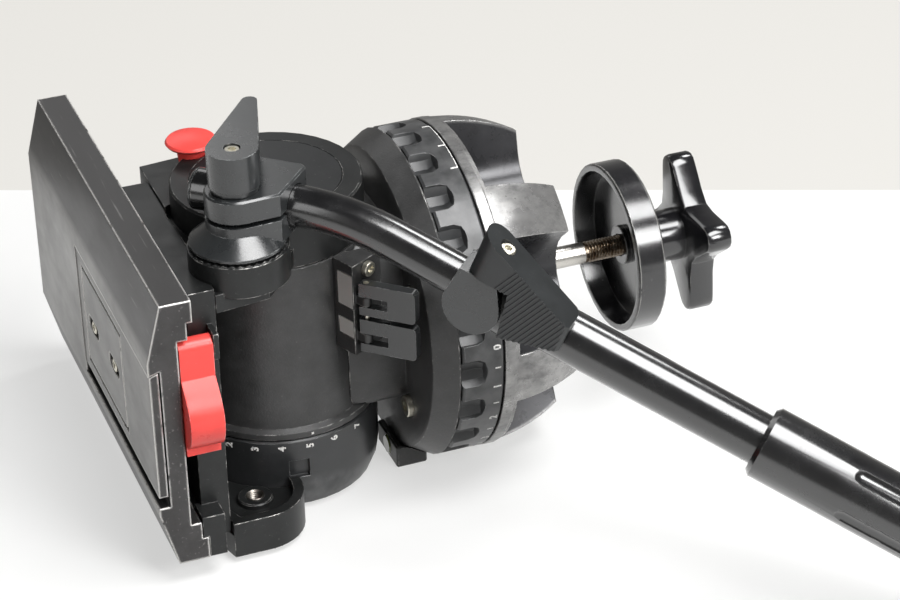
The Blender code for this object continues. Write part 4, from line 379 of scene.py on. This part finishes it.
# Tie-down stud: a long M10 steel screw that stands out of the half ball. Its shank is turned
# bright, with fine marks round it, and its rolled thread is brown with old grease. The pan axle
# inside the ball is turned steel too.
STUD_RADIUS = 5.0 * MM
STUD_EDGE = 0.5 * MM
THREAD_START = 150.0 * MM
THREAD_PITCH = 1.5 * MM
THREAD_DEPTH = 0.8 * MM
THREAD_STEPS = 40
PITCH_STEPS = 8
FLANK_SLOPE = 1.5
CREST_FLAT = 0.2
TURNING_MARK = 0.5 * MM
TURNING_RELIEF = 0.002 * MM
TURNING_STREAK = (4.0, 0.3, 0.3)
ROLLING_MARK = 0.8 * MM
ROLLING_RELIEF = 0.004 * MM
GREASE_PATCH = 3.0 * MM
GREASE_LEVEL = 0.75
GREASE_LEVEL_FALL = 0.5
GREASE_SOFTNESS = 0.1
MARK_SHINE_BELOW = 0.08
MARK_SHINE_ABOVE = 0.1


def metal(name, colour, rough, grain, relief, streak=(1.0, 1.0, 1.0), dirt=None, dirt_share=0.0):
    """Bare metal with turning marks and, where given, a film of dirt."""
    material, tree, place = empty_material(name)
    lie = add(tree, "ShaderNodeMapping", {"Scale": streak}, {"Vector": place})
    marks = add(tree, "ShaderNodeTexNoise", {"Scale": 1.0 / grain, "Detail": 4.0}, {"Vector": lie.outputs[0]})
    film = add(tree, "ShaderNodeTexNoise", {"Scale": 1.0 / GREASE_PATCH, "Detail": 5.0, "Roughness": 0.7},
               {"Vector": place})
    film_start = GREASE_LEVEL - GREASE_LEVEL_FALL * dirt_share
    cover = add(tree, "ShaderNodeMapRange",
                {"From Min": film_start, "From Max": film_start + GREASE_SOFTNESS},
                {"Value": film.outputs[0]})
    tint = add(tree, "ShaderNodeMix", {"data_type": "RGBA", 6: linear(colour), 7: linear(dirt or colour)},
               {0: cover.outputs[0]})
    shine = add(tree, "ShaderNodeMapRange",
                {"To Min": rough - MARK_SHINE_BELOW, "To Max": rough + MARK_SHINE_ABOVE},
                {"Value": marks.outputs[0]})
    bump = add(tree, "ShaderNodeBump", {"Distance": relief}, {"Height": marks.outputs[0]})
    surface = add(tree, "ShaderNodeBsdfPrincipled", {"Metallic": 1.0},
                  {"Base Color": tint.outputs[2], "Roughness": shine.outputs[0], "Normal": bump.outputs[0]})
    add(tree, "ShaderNodeOutputMaterial", links={"Surface": surface.outputs[0]})
    return material


def piece(name, shape, body, slot, *materials, crease=SHARP_DEGREES):
    """A finished piece from a bmesh, which rides on a body of the head."""
    bmesh.ops.recalc_face_normals(shape, faces=shape.faces[:])
    mesh = bpy.data.meshes.new(name)
    shape.to_mesh(mesh)
    shape.free()
    for material in materials:
        mesh.materials.append(material)
    mesh.shade_smooth()
    mesh.set_sharp_from_angle(angle=math.radians(crease))
    item = bpy.data.objects.new(name, mesh)
    scene.collection.objects.link(item)
    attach(item, body)
    return item


def threaded_rod(low, high, radius, axis_y, axis_z):
    """A plain shank that turns into a thread: one skin of rings whose radius follows the helix.

    A station has its place along the axis, 1 where the thread is cut or else 0, and its radius.
    A flank rises with its slope over half a pitch, and both its ends are cut flat.
    """
    shape = bmesh.new()
    stations = [(low, 0.0, radius - STUD_EDGE), (low + STUD_EDGE, 0.0, radius),
                (THREAD_START - THREAD_PITCH, 0.0, radius)]
    step = THREAD_PITCH / PITCH_STEPS
    count = int((high - STUD_EDGE - THREAD_START) / step)
    root = radius - THREAD_DEPTH
    stations += [(THREAD_START + step * number, 1.0, radius) for number in range(count + 1)]
    stations += [(high - STUD_EDGE / 2.0, 0.0, root), (high, 0.0, root - STUD_EDGE)]
    rings = []
    for x, cut, reach in stations:
        ring = []
        for number in range(THREAD_STEPS):
            share = number / THREAD_STEPS
            wave = (x / THREAD_PITCH + share) % 1.0
            flank = abs(2.0 * wave - 1.0) * FLANK_SLOPE - CREST_FLAT
            depth = cut * THREAD_DEPTH * min(1.0, max(0.0, flank))
            angle = 2.0 * math.pi * share
            ring.append(shape.verts.new((x, axis_y + (reach - depth) * math.cos(angle),
                                         axis_z + (reach - depth) * math.sin(angle))))
        rings.append(ring)
    for one, two in zip(rings, rings[1:]):
        for number in range(THREAD_STEPS):
            after = (number + 1) % THREAD_STEPS
            face = shape.faces.new((one[number], one[after], two[after], two[number]))
            if face.calc_center_median().x > THREAD_START - THREAD_PITCH:
                face.material_index = 1
    shape.faces.new(rings[0])
    shape.faces.new(rings[-1])
    return shape


stud_low, stud_high = (Vector(corner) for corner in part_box("tie_down_stud"))
stud_axis = (stud_low + stud_high) / 2.0
bright_shank = metal("turned bright steel", "#cbc8c2", rough=0.28, grain=TURNING_MARK,
                     relief=TURNING_RELIEF, streak=TURNING_STREAK)
rolled_thread = metal("rolled steel thread", "#968a7b", rough=0.34, grain=ROLLING_MARK,
                      relief=ROLLING_RELIEF, dirt="#6a5b4b", dirt_share=0.6)
stud = piece("threaded_stud", threaded_rod(stud_low.x, stud_high.x, STUD_RADIUS, stud_axis.y, stud_axis.z),
             "base", "bright_steel", bright_shank, rolled_thread)
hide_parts("tie_down_stud")
dress(metal("turned steel axle", "#bdbab4", rough=0.3, grain=TURNING_MARK, relief=TURNING_RELIEF,
            streak=TURNING_STREAK), "pan_axle")

# Pan drag ring: glass filled nylon, moulded with a row of finger pockets, dull black. The pale grey
# on the finger ridges between the pockets is a painted sheen.
RING_NYLON = "#2b2c2d"
RING_GRAIN = 0.5 * MM
RING_RELIEF = 0.012 * MM
RING_WEAR = 0.5 * MM
# The painted sheen on the ridges: where it starts and where it is full, its patch size, its noise level and
# its share.
RIDGE_SHEEN_START = 71.0 * MM
RIDGE_SHEEN_FULL = 74.8 * MM
RIDGE_SHEEN_PATCH = 9.0 * MM
RIDGE_SHEEN_LEVEL = 0.35
RIDGE_SHEEN_SHARE = 0.16


def painted_ridge_sheen(tree, place):
    """Painted sheen: pale grey laid on the outermost ridges, all round the ring."""
    middle = add(tree, "ShaderNodeVectorMath",
                 {"operation": "SUBTRACT", 1: (0.0, BALL_CENTRE[1], BALL_CENTRE[2])}, {0: place})
    flat = add(tree, "ShaderNodeVectorMath", {"operation": "MULTIPLY", 1: (0.0, 1.0, 1.0)},
               {0: middle.outputs[0]})
    reach = add(tree, "ShaderNodeVectorMath", {"operation": "LENGTH"}, {0: flat.outputs[0]})
    # Painted sheen: pale grey on the ring's outermost skin, where the finger ridges stand.
    skin = add(tree, "ShaderNodeMapRange",
               {"From Min": RIDGE_SHEEN_START, "From Max": RIDGE_SHEEN_FULL, "To Max": RIDGE_SHEEN_SHARE},
               {"Value": reach.outputs["Value"]})
    patches = add(tree, "ShaderNodeTexNoise", {"Scale": 1.0 / RIDGE_SHEEN_PATCH, "Detail": 4.0},
                  {"Vector": place})
    bare = add(tree, "ShaderNodeMapRange", {"From Min": RIDGE_SHEEN_LEVEL, "From Max": NOISE_HIGH},
               {"Value": patches.outputs[0]})
    return add(tree, "ShaderNodeMath", {"operation": "MULTIPLY"}, {0: skin.outputs[0], 1: bare.outputs[0]})


ring_nylon = worn_coat("glass filled nylon", RING_NYLON, rough=0.36, grain=RING_GRAIN, relief=RING_RELIEF,
                       wear=RING_WEAR, bare="#a8a8a8", gone=0.6, bare_metal=0.2, clear=0.15,
                       rubbed=painted_ridge_sheen)
dress(ring_nylon, "pan_drag_ring")

# The pan ring's marks: plain numbers, a tick between each two, and a line with three short bars
# along its edge, screen printed in white paint that is matt and a little rubbed off. The angles
# are degrees round the pan axis, and each mark is a thin solid sunk into the ring's skin.
PRINT_SUNK = 0.25 * MM
PRINT_PROUD = 0.05 * MM
PRINT_WHITE = "#e9e8e4"
PRINT_FADED = "#77777a"
PRINT_SPECK = 0.7 * MM
PRINT_FADED_LEVEL = 0.36
PRINT_FULL_LEVEL = 0.48
PAN_RING_RADIUS = 75.0 * MM
PAN_DIGIT_LINE = 77.2 * MM
PAN_EDGE_LINE = 79.4 * MM
PAN_DIGIT_SIZE = 4.8 * MM
PAN_MARKS = (("0", 6.6), ("1", -8.8), ("2", -24.3), ("3", -39.8), ("4", -55.3), ("5", -70.8))
TICK_WIDTH = 0.7 * MM
TICK_LENGTH = 2.6 * MM
TICK_TURN = 7.7
PAN_BARS = (98.6, 83.2, 71.2)
BAR_WIDTH = 0.8 * MM
BAR_LENGTH = 3.2 * MM
LINE_WIDTH = 0.35 * MM
LINE_CUTS = 8
MARK_HALF = 1.0 * MM
DIGIT_STEPS = 4
DIGIT_JOIN = 0.005 * MM
DIGIT_SWELL_SHARE = 0.035


def printed_paint(name, colour):
    """Screen printed paint: matt, slightly uneven and a little rubbed off."""
    material, tree, place = empty_material(name)
    speck = add(tree, "ShaderNodeTexNoise", {"Scale": 1.0 / PRINT_SPECK, "Detail": 4.0}, {"Vector": place})
    fade = add(tree, "ShaderNodeMapRange", {"From Min": PRINT_FADED_LEVEL, "From Max": PRINT_FULL_LEVEL},
               {"Value": speck.outputs[0]})
    paint = add(tree, "ShaderNodeMix", {"data_type": "RGBA", 6: linear(PRINT_FADED), 7: linear(colour)},
                {0: fade.outputs[0]})
    surface = add(tree, "ShaderNodeBsdfPrincipled", {"Roughness": 0.6}, {"Base Color": paint.outputs[2]})
    add(tree, "ShaderNodeOutputMaterial", links={"Surface": surface.outputs[0]})
    return material


def digit(text, size):
    """One plain numeral as a closed solid, centred, its face in the XY plane."""
    curve = bpy.data.curves.new(f"numeral {text}", "FONT")
    curve.body = text
    curve.size = size
    curve.align_x = "CENTER"
    curve.align_y = "CENTER"
    curve.extrude = MARK_HALF
    curve.offset = DIGIT_SWELL_SHARE * size
    curve.resolution_u = DIGIT_STEPS
    holder = bpy.data.objects.new(f"numeral {text}", curve)
    scene.collection.objects.link(holder)
    shape = bmesh.new()
    shape.from_mesh(holder.to_mesh())
    holder.to_mesh_clear()
    bpy.data.objects.remove(holder)
    bmesh.ops.remove_doubles(shape, verts=shape.verts[:], dist=DIGIT_JOIN)
    return shape


def bar(width, tall, cuts=1):
    """One short printed bar, cut across so that it can follow the ring."""
    shape = bmesh.new()
    low, high = -tall / 2.0, tall / 2.0
    corners = ((low, -MARK_HALF), (high, -MARK_HALF), (high, MARK_HALF), (low, MARK_HALF))
    for number in range(cuts + 1):
        u = width * (number / cuts - 0.5)
        for v, w in corners:
            shape.verts.new((u, v, w))
    shape.verts.ensure_lookup_table()
    for number in range(cuts):
        for side in range(4):
            a = 4 * number + side
            b = 4 * number + (side + 1) % 4
            shape.faces.new([shape.verts[i] for i in (a, b, b + 4, a + 4)])
    shape.faces.new([shape.verts[i] for i in (0, 1, 2, 3)])
    shape.faces.new([shape.verts[4 * cuts + i] for i in (3, 2, 1, 0)])
    return shape


def laid(shape, spot):
    """Lays a printed mark on a surface; spot gives the point for its right, its up and its depth."""
    for vert in shape.verts:
        u, v, w = vert.co
        vert.co = spot(u, v, PRINT_PROUD if w > 0.0 else -PRINT_SUNK)
    return shape


def gather(*shapes):
    """All marks of one piece in one mesh."""
    whole = bmesh.new()
    for shape in shapes:
        mesh = bpy.data.meshes.new("mark")
        shape.to_mesh(mesh)
        shape.free()
        whole.from_mesh(mesh)
        bpy.data.meshes.remove(mesh)
    return whole


def on_pan_ring(station, degrees):
    """Places a mark round the pan axis; its right runs up the ring and its up runs to the platform."""
    def spot(u, v, w):
        across = math.radians(degrees) + u / PAN_RING_RADIUS
        reach = PAN_RING_RADIUS + w
        return (station - v, BALL_CENTRE[1] - reach * math.cos(across),
                BALL_CENTRE[2] + reach * math.sin(across))
    return spot


white_print = printed_paint("screen printed paint", PRINT_WHITE)
pan_marks = [laid(digit(text, PAN_DIGIT_SIZE), on_pan_ring(PAN_DIGIT_LINE, degrees))
             for text, degrees in PAN_MARKS]
pan_marks += [laid(bar(TICK_WIDTH, TICK_LENGTH), on_pan_ring(PAN_DIGIT_LINE, degrees - TICK_TURN))
              for text, degrees in PAN_MARKS[:-1]]
pan_marks += [laid(bar(BAR_WIDTH, BAR_LENGTH), on_pan_ring(PAN_EDGE_LINE - BAR_LENGTH / 2.0, degrees))
              for degrees in PAN_BARS]
for first, last in zip(PAN_BARS, PAN_BARS[1:]):
    line = bar(math.radians(first - last) * PAN_RING_RADIUS, LINE_WIDTH, LINE_CUTS)
    pan_marks.append(laid(line, on_pan_ring(PAN_EDGE_LINE, (first + last) / 2.0)))
piece("pan_ring_numbers", gather(*pan_marks), "pan_ring", "black_plastic", white_print)

# Pan housing, tilt drum and lever block: sand cast aluminium under a stoved textured paint. The
# paint has a fine crust, drawn coarser than the real one so that it shows, is scratched along
# the rims and shows metal at its corners.
CRUST_GRAIN = 0.9 * MM
CRUST_RELIEF = 0.10 * MM
CRUST_WEAR = 0.8 * MM

cast_paint = worn_coat("stoved textured paint", "#383838", rough=0.37, grain=CRUST_GRAIN,
                       relief=CRUST_RELIEF, wear=CRUST_WEAR, gone=0.55, mottle=(0.65, 1.35),
                       bare_metal=0.5, dust=0.35)
dress(cast_paint, "pan_housing", "tilt_drum", "brake_block")

# Bearings, screws and clips of these castings. The bearings are sintered bronze, brown and dull.
# The screws are zinc plated steel, pale yellow with grey dirt, and the two clips are pressed
# from spring steel, bright with marks along their bend.
BRONZE_PORE = 0.6 * MM
BRONZE_RELIEF = 0.01 * MM
PLATING_GRAIN = 0.4 * MM
PLATING_RELIEF = 0.002 * MM
SPRING_MARK = 0.5 * MM
SPRING_RELIEF = 0.004 * MM

dress(metal("sintered bronze", "#a67a45", rough=0.4, grain=BRONZE_PORE, relief=BRONZE_RELIEF),
      "pan_bearing", "tilt_bearing_upper", "tilt_bearing_lower")
plated = metal("zinc plated steel", "#d6d2c4", rough=0.36, grain=PLATING_GRAIN, relief=PLATING_RELIEF,
               dirt="#6d665a", dirt_share=0.25)
dress(plated, "disc_screw_1", "disc_screw_2", "disc_screw_3", "disc_screw_4", "brake_block_screw",
      "brake_hinge_pin")
dress(metal("pressed spring steel", "#f1efeb", rough=0.55, grain=SPRING_MARK, relief=SPRING_RELIEF,
            streak=(1.0, 1.0, 3.0)), "brake_clip_upper", "brake_clip_lower")

# Tilt drag ring: the pan ring's nylon again, under the drum, with its numbers facing out. The
# angles are degrees round the tilt axis. A white dot on the drum's lip marks the setting.
TILT_RING_RADIUS = 44.3 * MM
TILT_DIGIT_HEIGHT = 34.7 * MM
TILT_DIGIT_SIZE = 4.6 * MM
TILT_MARKS = (("0", -168.6), ("1", -153.1), ("2", -137.6), ("3", -121.6), ("4", -106.0), ("5", -89.8),
              ("6", -74.4), ("7", -56.6))
DOT_DEGREES = -88.0
DOT_HEIGHT = 40.6 * MM
DOT_SIZE = 1.1 * MM

dress(ring_nylon, "tilt_drag_ring")


def on_tilt_ring(degrees, z):
    """Places a mark round the tilt axis; its right runs up and its up runs to the lower numbers."""
    def spot(u, v, w):
        across = math.radians(degrees) - v / TILT_RING_RADIUS
        reach = TILT_RING_RADIUS + w
        return (reach * math.cos(across), reach * math.sin(across), z + u)
    return spot


tilt_marks = [laid(digit(text, TILT_DIGIT_SIZE), on_tilt_ring(degrees, TILT_DIGIT_HEIGHT))
              for text, degrees in TILT_MARKS]
piece("tilt_ring_numbers", gather(*tilt_marks), "tilt_ring", "black_plastic", white_print)
piece("drum_index_dot", laid(bar(DOT_SIZE, DOT_SIZE), on_tilt_ring(DOT_DEGREES, DOT_HEIGHT)), "pan_body",
      "black_anodised", white_print)

# Brake levers: two forked paddles of moulded nylon on one steel pin. Hands and light have given
# the nylon a grey cast and a soft gloss, and its edges are rubbed pale.
GREY_NYLON = "#242627"
NYLON_GRAIN = 0.7 * MM
NYLON_RELIEF = 0.02 * MM
NYLON_WEAR = 0.6 * MM

grey_nylon = worn_coat("moulded nylon", GREY_NYLON, rough=0.29, grain=NYLON_GRAIN, relief=NYLON_RELIEF,
                       wear=NYLON_WEAR, bare="#a2a5a5", gone=0.6, mottle=(0.75, 1.25), bare_metal=0.1,
                       clear=0.5)
dress(grey_nylon, "tilt_brake_lever", "pan_brake_lever")

# Spirit level: a round vial of yellow green fluid under smooth glass, which mirrors the lamps,
# set in a black housing on the rim of the pan housing.
LEVEL_GREEN = "#8a9450"
LEVEL_DEEP = "#5d6632"
LEVEL_CLOUD = 4.0 * MM

dress(cast_paint, "level_housing")
vial, tree, place = empty_material("level vial")
cloud = add(tree, "ShaderNodeTexNoise", {"Scale": 1.0 / LEVEL_CLOUD, "Detail": 2.0}, {"Vector": place})
fluid = add(tree, "ShaderNodeMix", {"data_type": "RGBA", 6: linear(LEVEL_DEEP), 7: linear(LEVEL_GREEN)},
            {0: cloud.outputs[0]})
glass = add(tree, "ShaderNodeBsdfPrincipled", {"Roughness": 0.06, "Coat Weight": 1.0, "Coat Roughness": 0.03},
            {"Base Color": fluid.outputs[2]})
add(tree, "ShaderNodeOutputMaterial", links={"Surface": glass.outputs[0]})
dress(vial, "level_vial")

# Tilt head: the bed behind the platform and the two arms that hold the tilt axle, machined from
# aluminium and anodised black, with corners and edges knocked bright. The round cap is pressed
# from anodised sheet, which is smoother, and the axle and the lever pin are ground steel.
ANODISED_GRAIN = 0.4 * MM
ANODISED_RELIEF = 0.01 * MM
ANODISED_WEAR = 0.7 * MM
CAP_RELIEF = 0.006 * MM
CAP_WEAR = 0.25 * MM
GRINDING_MARK = 0.5 * MM
GRINDING_RELIEF = 0.002 * MM

anodised = worn_coat("black anodised aluminium", "#242525", rough=0.36, grain=ANODISED_GRAIN,
                     relief=ANODISED_RELIEF, wear=ANODISED_WEAR, gone=0.6, mottle=(0.75, 1.3),
                     coat_metal=0.35, dust=0.3)
dress(anodised, "bed", "upper_arm", "lower_arm")
dress(worn_coat("black anodised sheet", "#272829", rough=0.34, grain=ANODISED_GRAIN, relief=CAP_RELIEF,
                wear=CAP_WEAR, gone=-1.0, coat_metal=0.3, dust=0.35), "end_cap")
dress(metal("ground steel pin", "#c4c1bb", rough=0.25, grain=GRINDING_MARK, relief=GRINDING_RELIEF),
      "tilt_axle", "lever_pin")

# Threaded steel bush in the lower arm's ear, for a second pan bar: a turned boss round it and
# the bright bush itself, whose thread shows as rings inside its bore.
EAR_CENTRE = (-27.5 * MM, -48.0 * MM)
EAR_FLOOR = 15.4 * MM
EAR_BORE_RADIUS = 4.1 * MM
EAR_BOSS_RADIUS = 8.2 * MM
EAR_BOSS_TOP = 17.8 * MM
EAR_BOSS_SUNK = 1.0 * MM
EAR_BOSS_DRAFT = 0.4 * MM
EAR_BOSS_ROUND = 0.5 * MM
EAR_BOSS_SHOULDER = 1.0 * MM
BUSH_TOP = 18.3 * MM
BUSH_BOTTOM = 9.0 * MM
BUSH_FIT = 0.02 * MM
BUSH_RIM = 0.3 * MM
BUSH_FOOT = 0.4 * MM
BUSH_INNER = 3.0 * MM
BUSH_PITCH = 1.0 * MM
BUSH_THREAD_DEPTH = 0.5 * MM
BUSH_CREASE = 60.0
TAPPING_MARK = 0.6 * MM
TAPPING_RELIEF = 0.004 * MM


def lathe(outline, centre, steps=48):
    """A turned ring from its closed outline of radius and height."""
    shape = bmesh.new()
    rings = []
    for number in range(steps):
        angle = 2.0 * math.pi * number / steps
        rings.append([shape.verts.new((centre[0] + r * math.cos(angle), centre[1] + r * math.sin(angle), z))
                      for r, z in outline])
    for number in range(steps):
        one, two = rings[number], rings[(number + 1) % steps]
        for at in range(len(outline)):
            after = (at + 1) % len(outline)
            shape.faces.new((one[at], two[at], two[after], one[after]))
    return shape


boss = [(EAR_BORE_RADIUS, EAR_FLOOR - EAR_BOSS_SUNK), (EAR_BOSS_RADIUS, EAR_FLOOR - EAR_BOSS_SUNK),
        (EAR_BOSS_RADIUS - EAR_BOSS_DRAFT, EAR_BOSS_TOP - EAR_BOSS_ROUND),
        (EAR_BOSS_RADIUS - EAR_BOSS_SHOULDER, EAR_BOSS_TOP), (EAR_BORE_RADIUS, EAR_BOSS_TOP)]
piece("lower_ear_boss", lathe(boss, EAR_CENTRE), "tilt_head", "black_anodised", anodised)
bush_radius = EAR_BORE_RADIUS - BUSH_FIT
bush = [(BUSH_INNER + BUSH_THREAD_DEPTH + BUSH_FOOT, BUSH_BOTTOM), (bush_radius, BUSH_BOTTOM + BUSH_FOOT),
        (bush_radius, BUSH_TOP - BUSH_RIM), (EAR_BORE_RADIUS - BUSH_RIM, BUSH_TOP)]
for number in range(int((BUSH_TOP - BUSH_BOTTOM) / BUSH_PITCH)):
    top = BUSH_TOP - BUSH_RIM - BUSH_PITCH * number
    bush += [(BUSH_INNER + BUSH_THREAD_DEPTH, top), (BUSH_INNER, top - BUSH_PITCH / 2.0)]
piece("lower_ear_bush", lathe(bush, EAR_CENTRE), "tilt_head", "bright_steel",
      metal("tapped steel bush", "#8d8882", rough=0.36, grain=TAPPING_MARK, relief=TAPPING_RELIEF),
      crease=BUSH_CREASE)

# Camera platform: an extruded aluminium rail with a sliding plate, black anodised. Its outer face
# is painted a lighter grey in patches, a painted sheen; the rail is scratched along its length, and its edges
# are bare metal.
EXTRUSION_GRAIN = 0.5 * MM
EXTRUSION_RELIEF = 0.008 * MM
EXTRUSION_WEAR = 1.5 * MM
OUTER_FACE = -77.2 * MM
# The painted sheen on the outer face: where it starts and where it is full, its patch size and its shares.
OUTER_SHEEN_START = 1.2 * MM
OUTER_SHEEN_FULL = 0.3 * MM
OUTER_SHEEN_PATCH = 30.0 * MM
OUTER_SHEEN_SHARES = (0.10, 0.26)
SCRATCH_WIDTH = 1.5 * MM
SCRATCH_SLANT_RADIANS = 0.35
SCRATCH_STRETCH = (1.0, 0.05, 1.0)
SCRATCH_LEVEL = 0.64
SCRATCH_FULL_LEVEL = 0.74
SCRATCH_SHARE = 0.12


def scratches_and_painted_sheen(tree, place):
    """A painted sheen of pale grey patches on the outer face, and fine pale scratches along the rail."""
    lie = add(tree, "ShaderNodeMapping",
              {"Rotation": (SCRATCH_SLANT_RADIANS, 0.0, 0.0), "Scale": SCRATCH_STRETCH}, {"Vector": place})
    lines = add(tree, "ShaderNodeTexNoise", {"Scale": 1.0 / SCRATCH_WIDTH, "Detail": 3.0},
                {"Vector": lie.outputs[0]})
    scratch = add(tree, "ShaderNodeMapRange",
                  {"From Min": SCRATCH_LEVEL, "From Max": SCRATCH_FULL_LEVEL, "To Max": SCRATCH_SHARE},
                  {"Value": lines.outputs[0]})
    side = add(tree, "ShaderNodeSeparateXYZ", links={0: place})
    # Painted sheen: pale grey patches on the outer face, the side that faces left.
    outside = add(tree, "ShaderNodeMapRange",
                  {"From Min": OUTER_FACE + OUTER_SHEEN_START, "From Max": OUTER_FACE + OUTER_SHEEN_FULL},
                  {"Value": side.outputs["X"]})
    haze = add(tree, "ShaderNodeTexNoise", {"Scale": 1.0 / OUTER_SHEEN_PATCH, "Detail": 5.0, "Roughness": 0.6},
               {"Vector": place})
    rub = add(tree, "ShaderNodeMapRange",
              {"From Min": NOISE_LOW, "From Max": NOISE_HIGH,
               "To Min": OUTER_SHEEN_SHARES[0], "To Max": OUTER_SHEEN_SHARES[1]},
              {"Value": haze.outputs[0]})
    both = add(tree, "ShaderNodeMath", {"operation": "MULTIPLY"}, {0: outside.outputs[0], 1: rub.outputs[0]})
    return add(tree, "ShaderNodeMath", {"operation": "MAXIMUM"}, {0: scratch.outputs[0], 1: both.outputs[0]})


platform_alloy = worn_coat("worn anodised extrusion", "#484747", rough=0.36, grain=EXTRUSION_GRAIN,
                           relief=EXTRUSION_RELIEF, wear=EXTRUSION_WEAR, bare="#f4f2ee", gone=1.2,
                           mottle=(0.8, 1.22), streak=(1.0, 0.25, 1.0), coat_metal=0.75,
                           bare_metal=0.35, dust=0.06, rubbed=scratches_and_painted_sheen)
dress(platform_alloy, "platform", "slide_plate", "camera_plate")
dress(plated, "camera_screw_1", "camera_screw_2")

# Red controls: the clamp lever at the platform's near end and the safety button, moulded in
# coloured nylon with a soft shine, whose edges are rubbed to a paler pink.
SIGNAL_RED = "#ee4a44"
RED_GRAIN = 0.6 * MM
RED_RELIEF = 0.006 * MM
RED_WEAR = 0.6 * MM

red_nylon = worn_coat("red moulded nylon", SIGNAL_RED, rough=0.32, grain=RED_GRAIN, relief=RED_RELIEF,
                      wear=RED_WEAR, bare="#f4aaa8", gone=0.6, mottle=(0.9, 1.1), bare_metal=0.0)
dress(red_nylon, "clamp_lever", "safety_button")

# Pan bar: its rosette jaw, clamp and wing knob are moulded nylon on a steel bolt; the bent
# tube is steel with a black lacquer that keeps long soft highlights.
LACQUER_WAVE = 4.0 * MM
LACQUER_RELIEF = 0.004 * MM
LACQUER_WEAR = 0.5 * MM

dress(grey_nylon, "bar_jaw", "bar_clamp", "wing_knob", "tube_plug")
dress(plated, "wing_screw", "clamp_bolt", "lever_screw")
lacquer = worn_coat("black lacquer on steel tube", "#121213", rough=0.24, grain=LACQUER_WAVE,
                    relief=LACQUER_RELIEF, wear=LACQUER_WEAR, gone=0.4, mottle=(0.8, 1.4), dust=0.12,
                    clear=1.0)
dress(lacquer, "inner_tube", "outer_tube", "bar_grip")

# Telescope lock: a moulded collar with a tall ribbed lever that clamps the outer tube. The
# lever's nylon is the collar's, but duller, and the edges of its ribs are hardly rubbed.
RIB_WEAR = 0.2 * MM

ribbed_nylon = worn_coat("ribbed moulded nylon", GREY_NYLON, rough=0.38, grain=NYLON_GRAIN,
                         relief=NYLON_RELIEF, wear=RIB_WEAR, gone=-0.6, mottle=(0.8, 1.15), clear=0.1)
dress(grey_nylon, "telescope_lock")
dress(ribbed_nylon, "telescope_lever")

# Tie-down cup and star knob: pressed phenolic, deep black and nearly polished, with slow waves
# in its skin. They run on the stud, and the cup's rim, which meets the bowl, is worn grey.
PHENOLIC_WAVE = 5.0 * MM
PHENOLIC_RELIEF = 0.006 * MM
KNOB_WEAR = 0.8 * MM
CUP_WEAR = 1.2 * MM

phenolic = worn_coat("pressed phenolic", "#141416", rough=0.19, grain=PHENOLIC_WAVE, relief=PHENOLIC_RELIEF,
                     wear=KNOB_WEAR, bare="#b5b4b0", gone=0.5, mottle=(0.8, 1.5), bare_metal=0.1, clear=0.7)
worn_phenolic = worn_coat("pressed phenolic with a worn rim", "#151517", rough=0.21, grain=PHENOLIC_WAVE,
                          relief=PHENOLIC_RELIEF, wear=CUP_WEAR, bare="#bdbcb8", gone=1.1,
                          mottle=(0.8, 1.6), bare_metal=0.1, dust=0.45, clear=0.7)
dress(phenolic, "star_knob")
dress(worn_phenolic, "tie_down_cup")
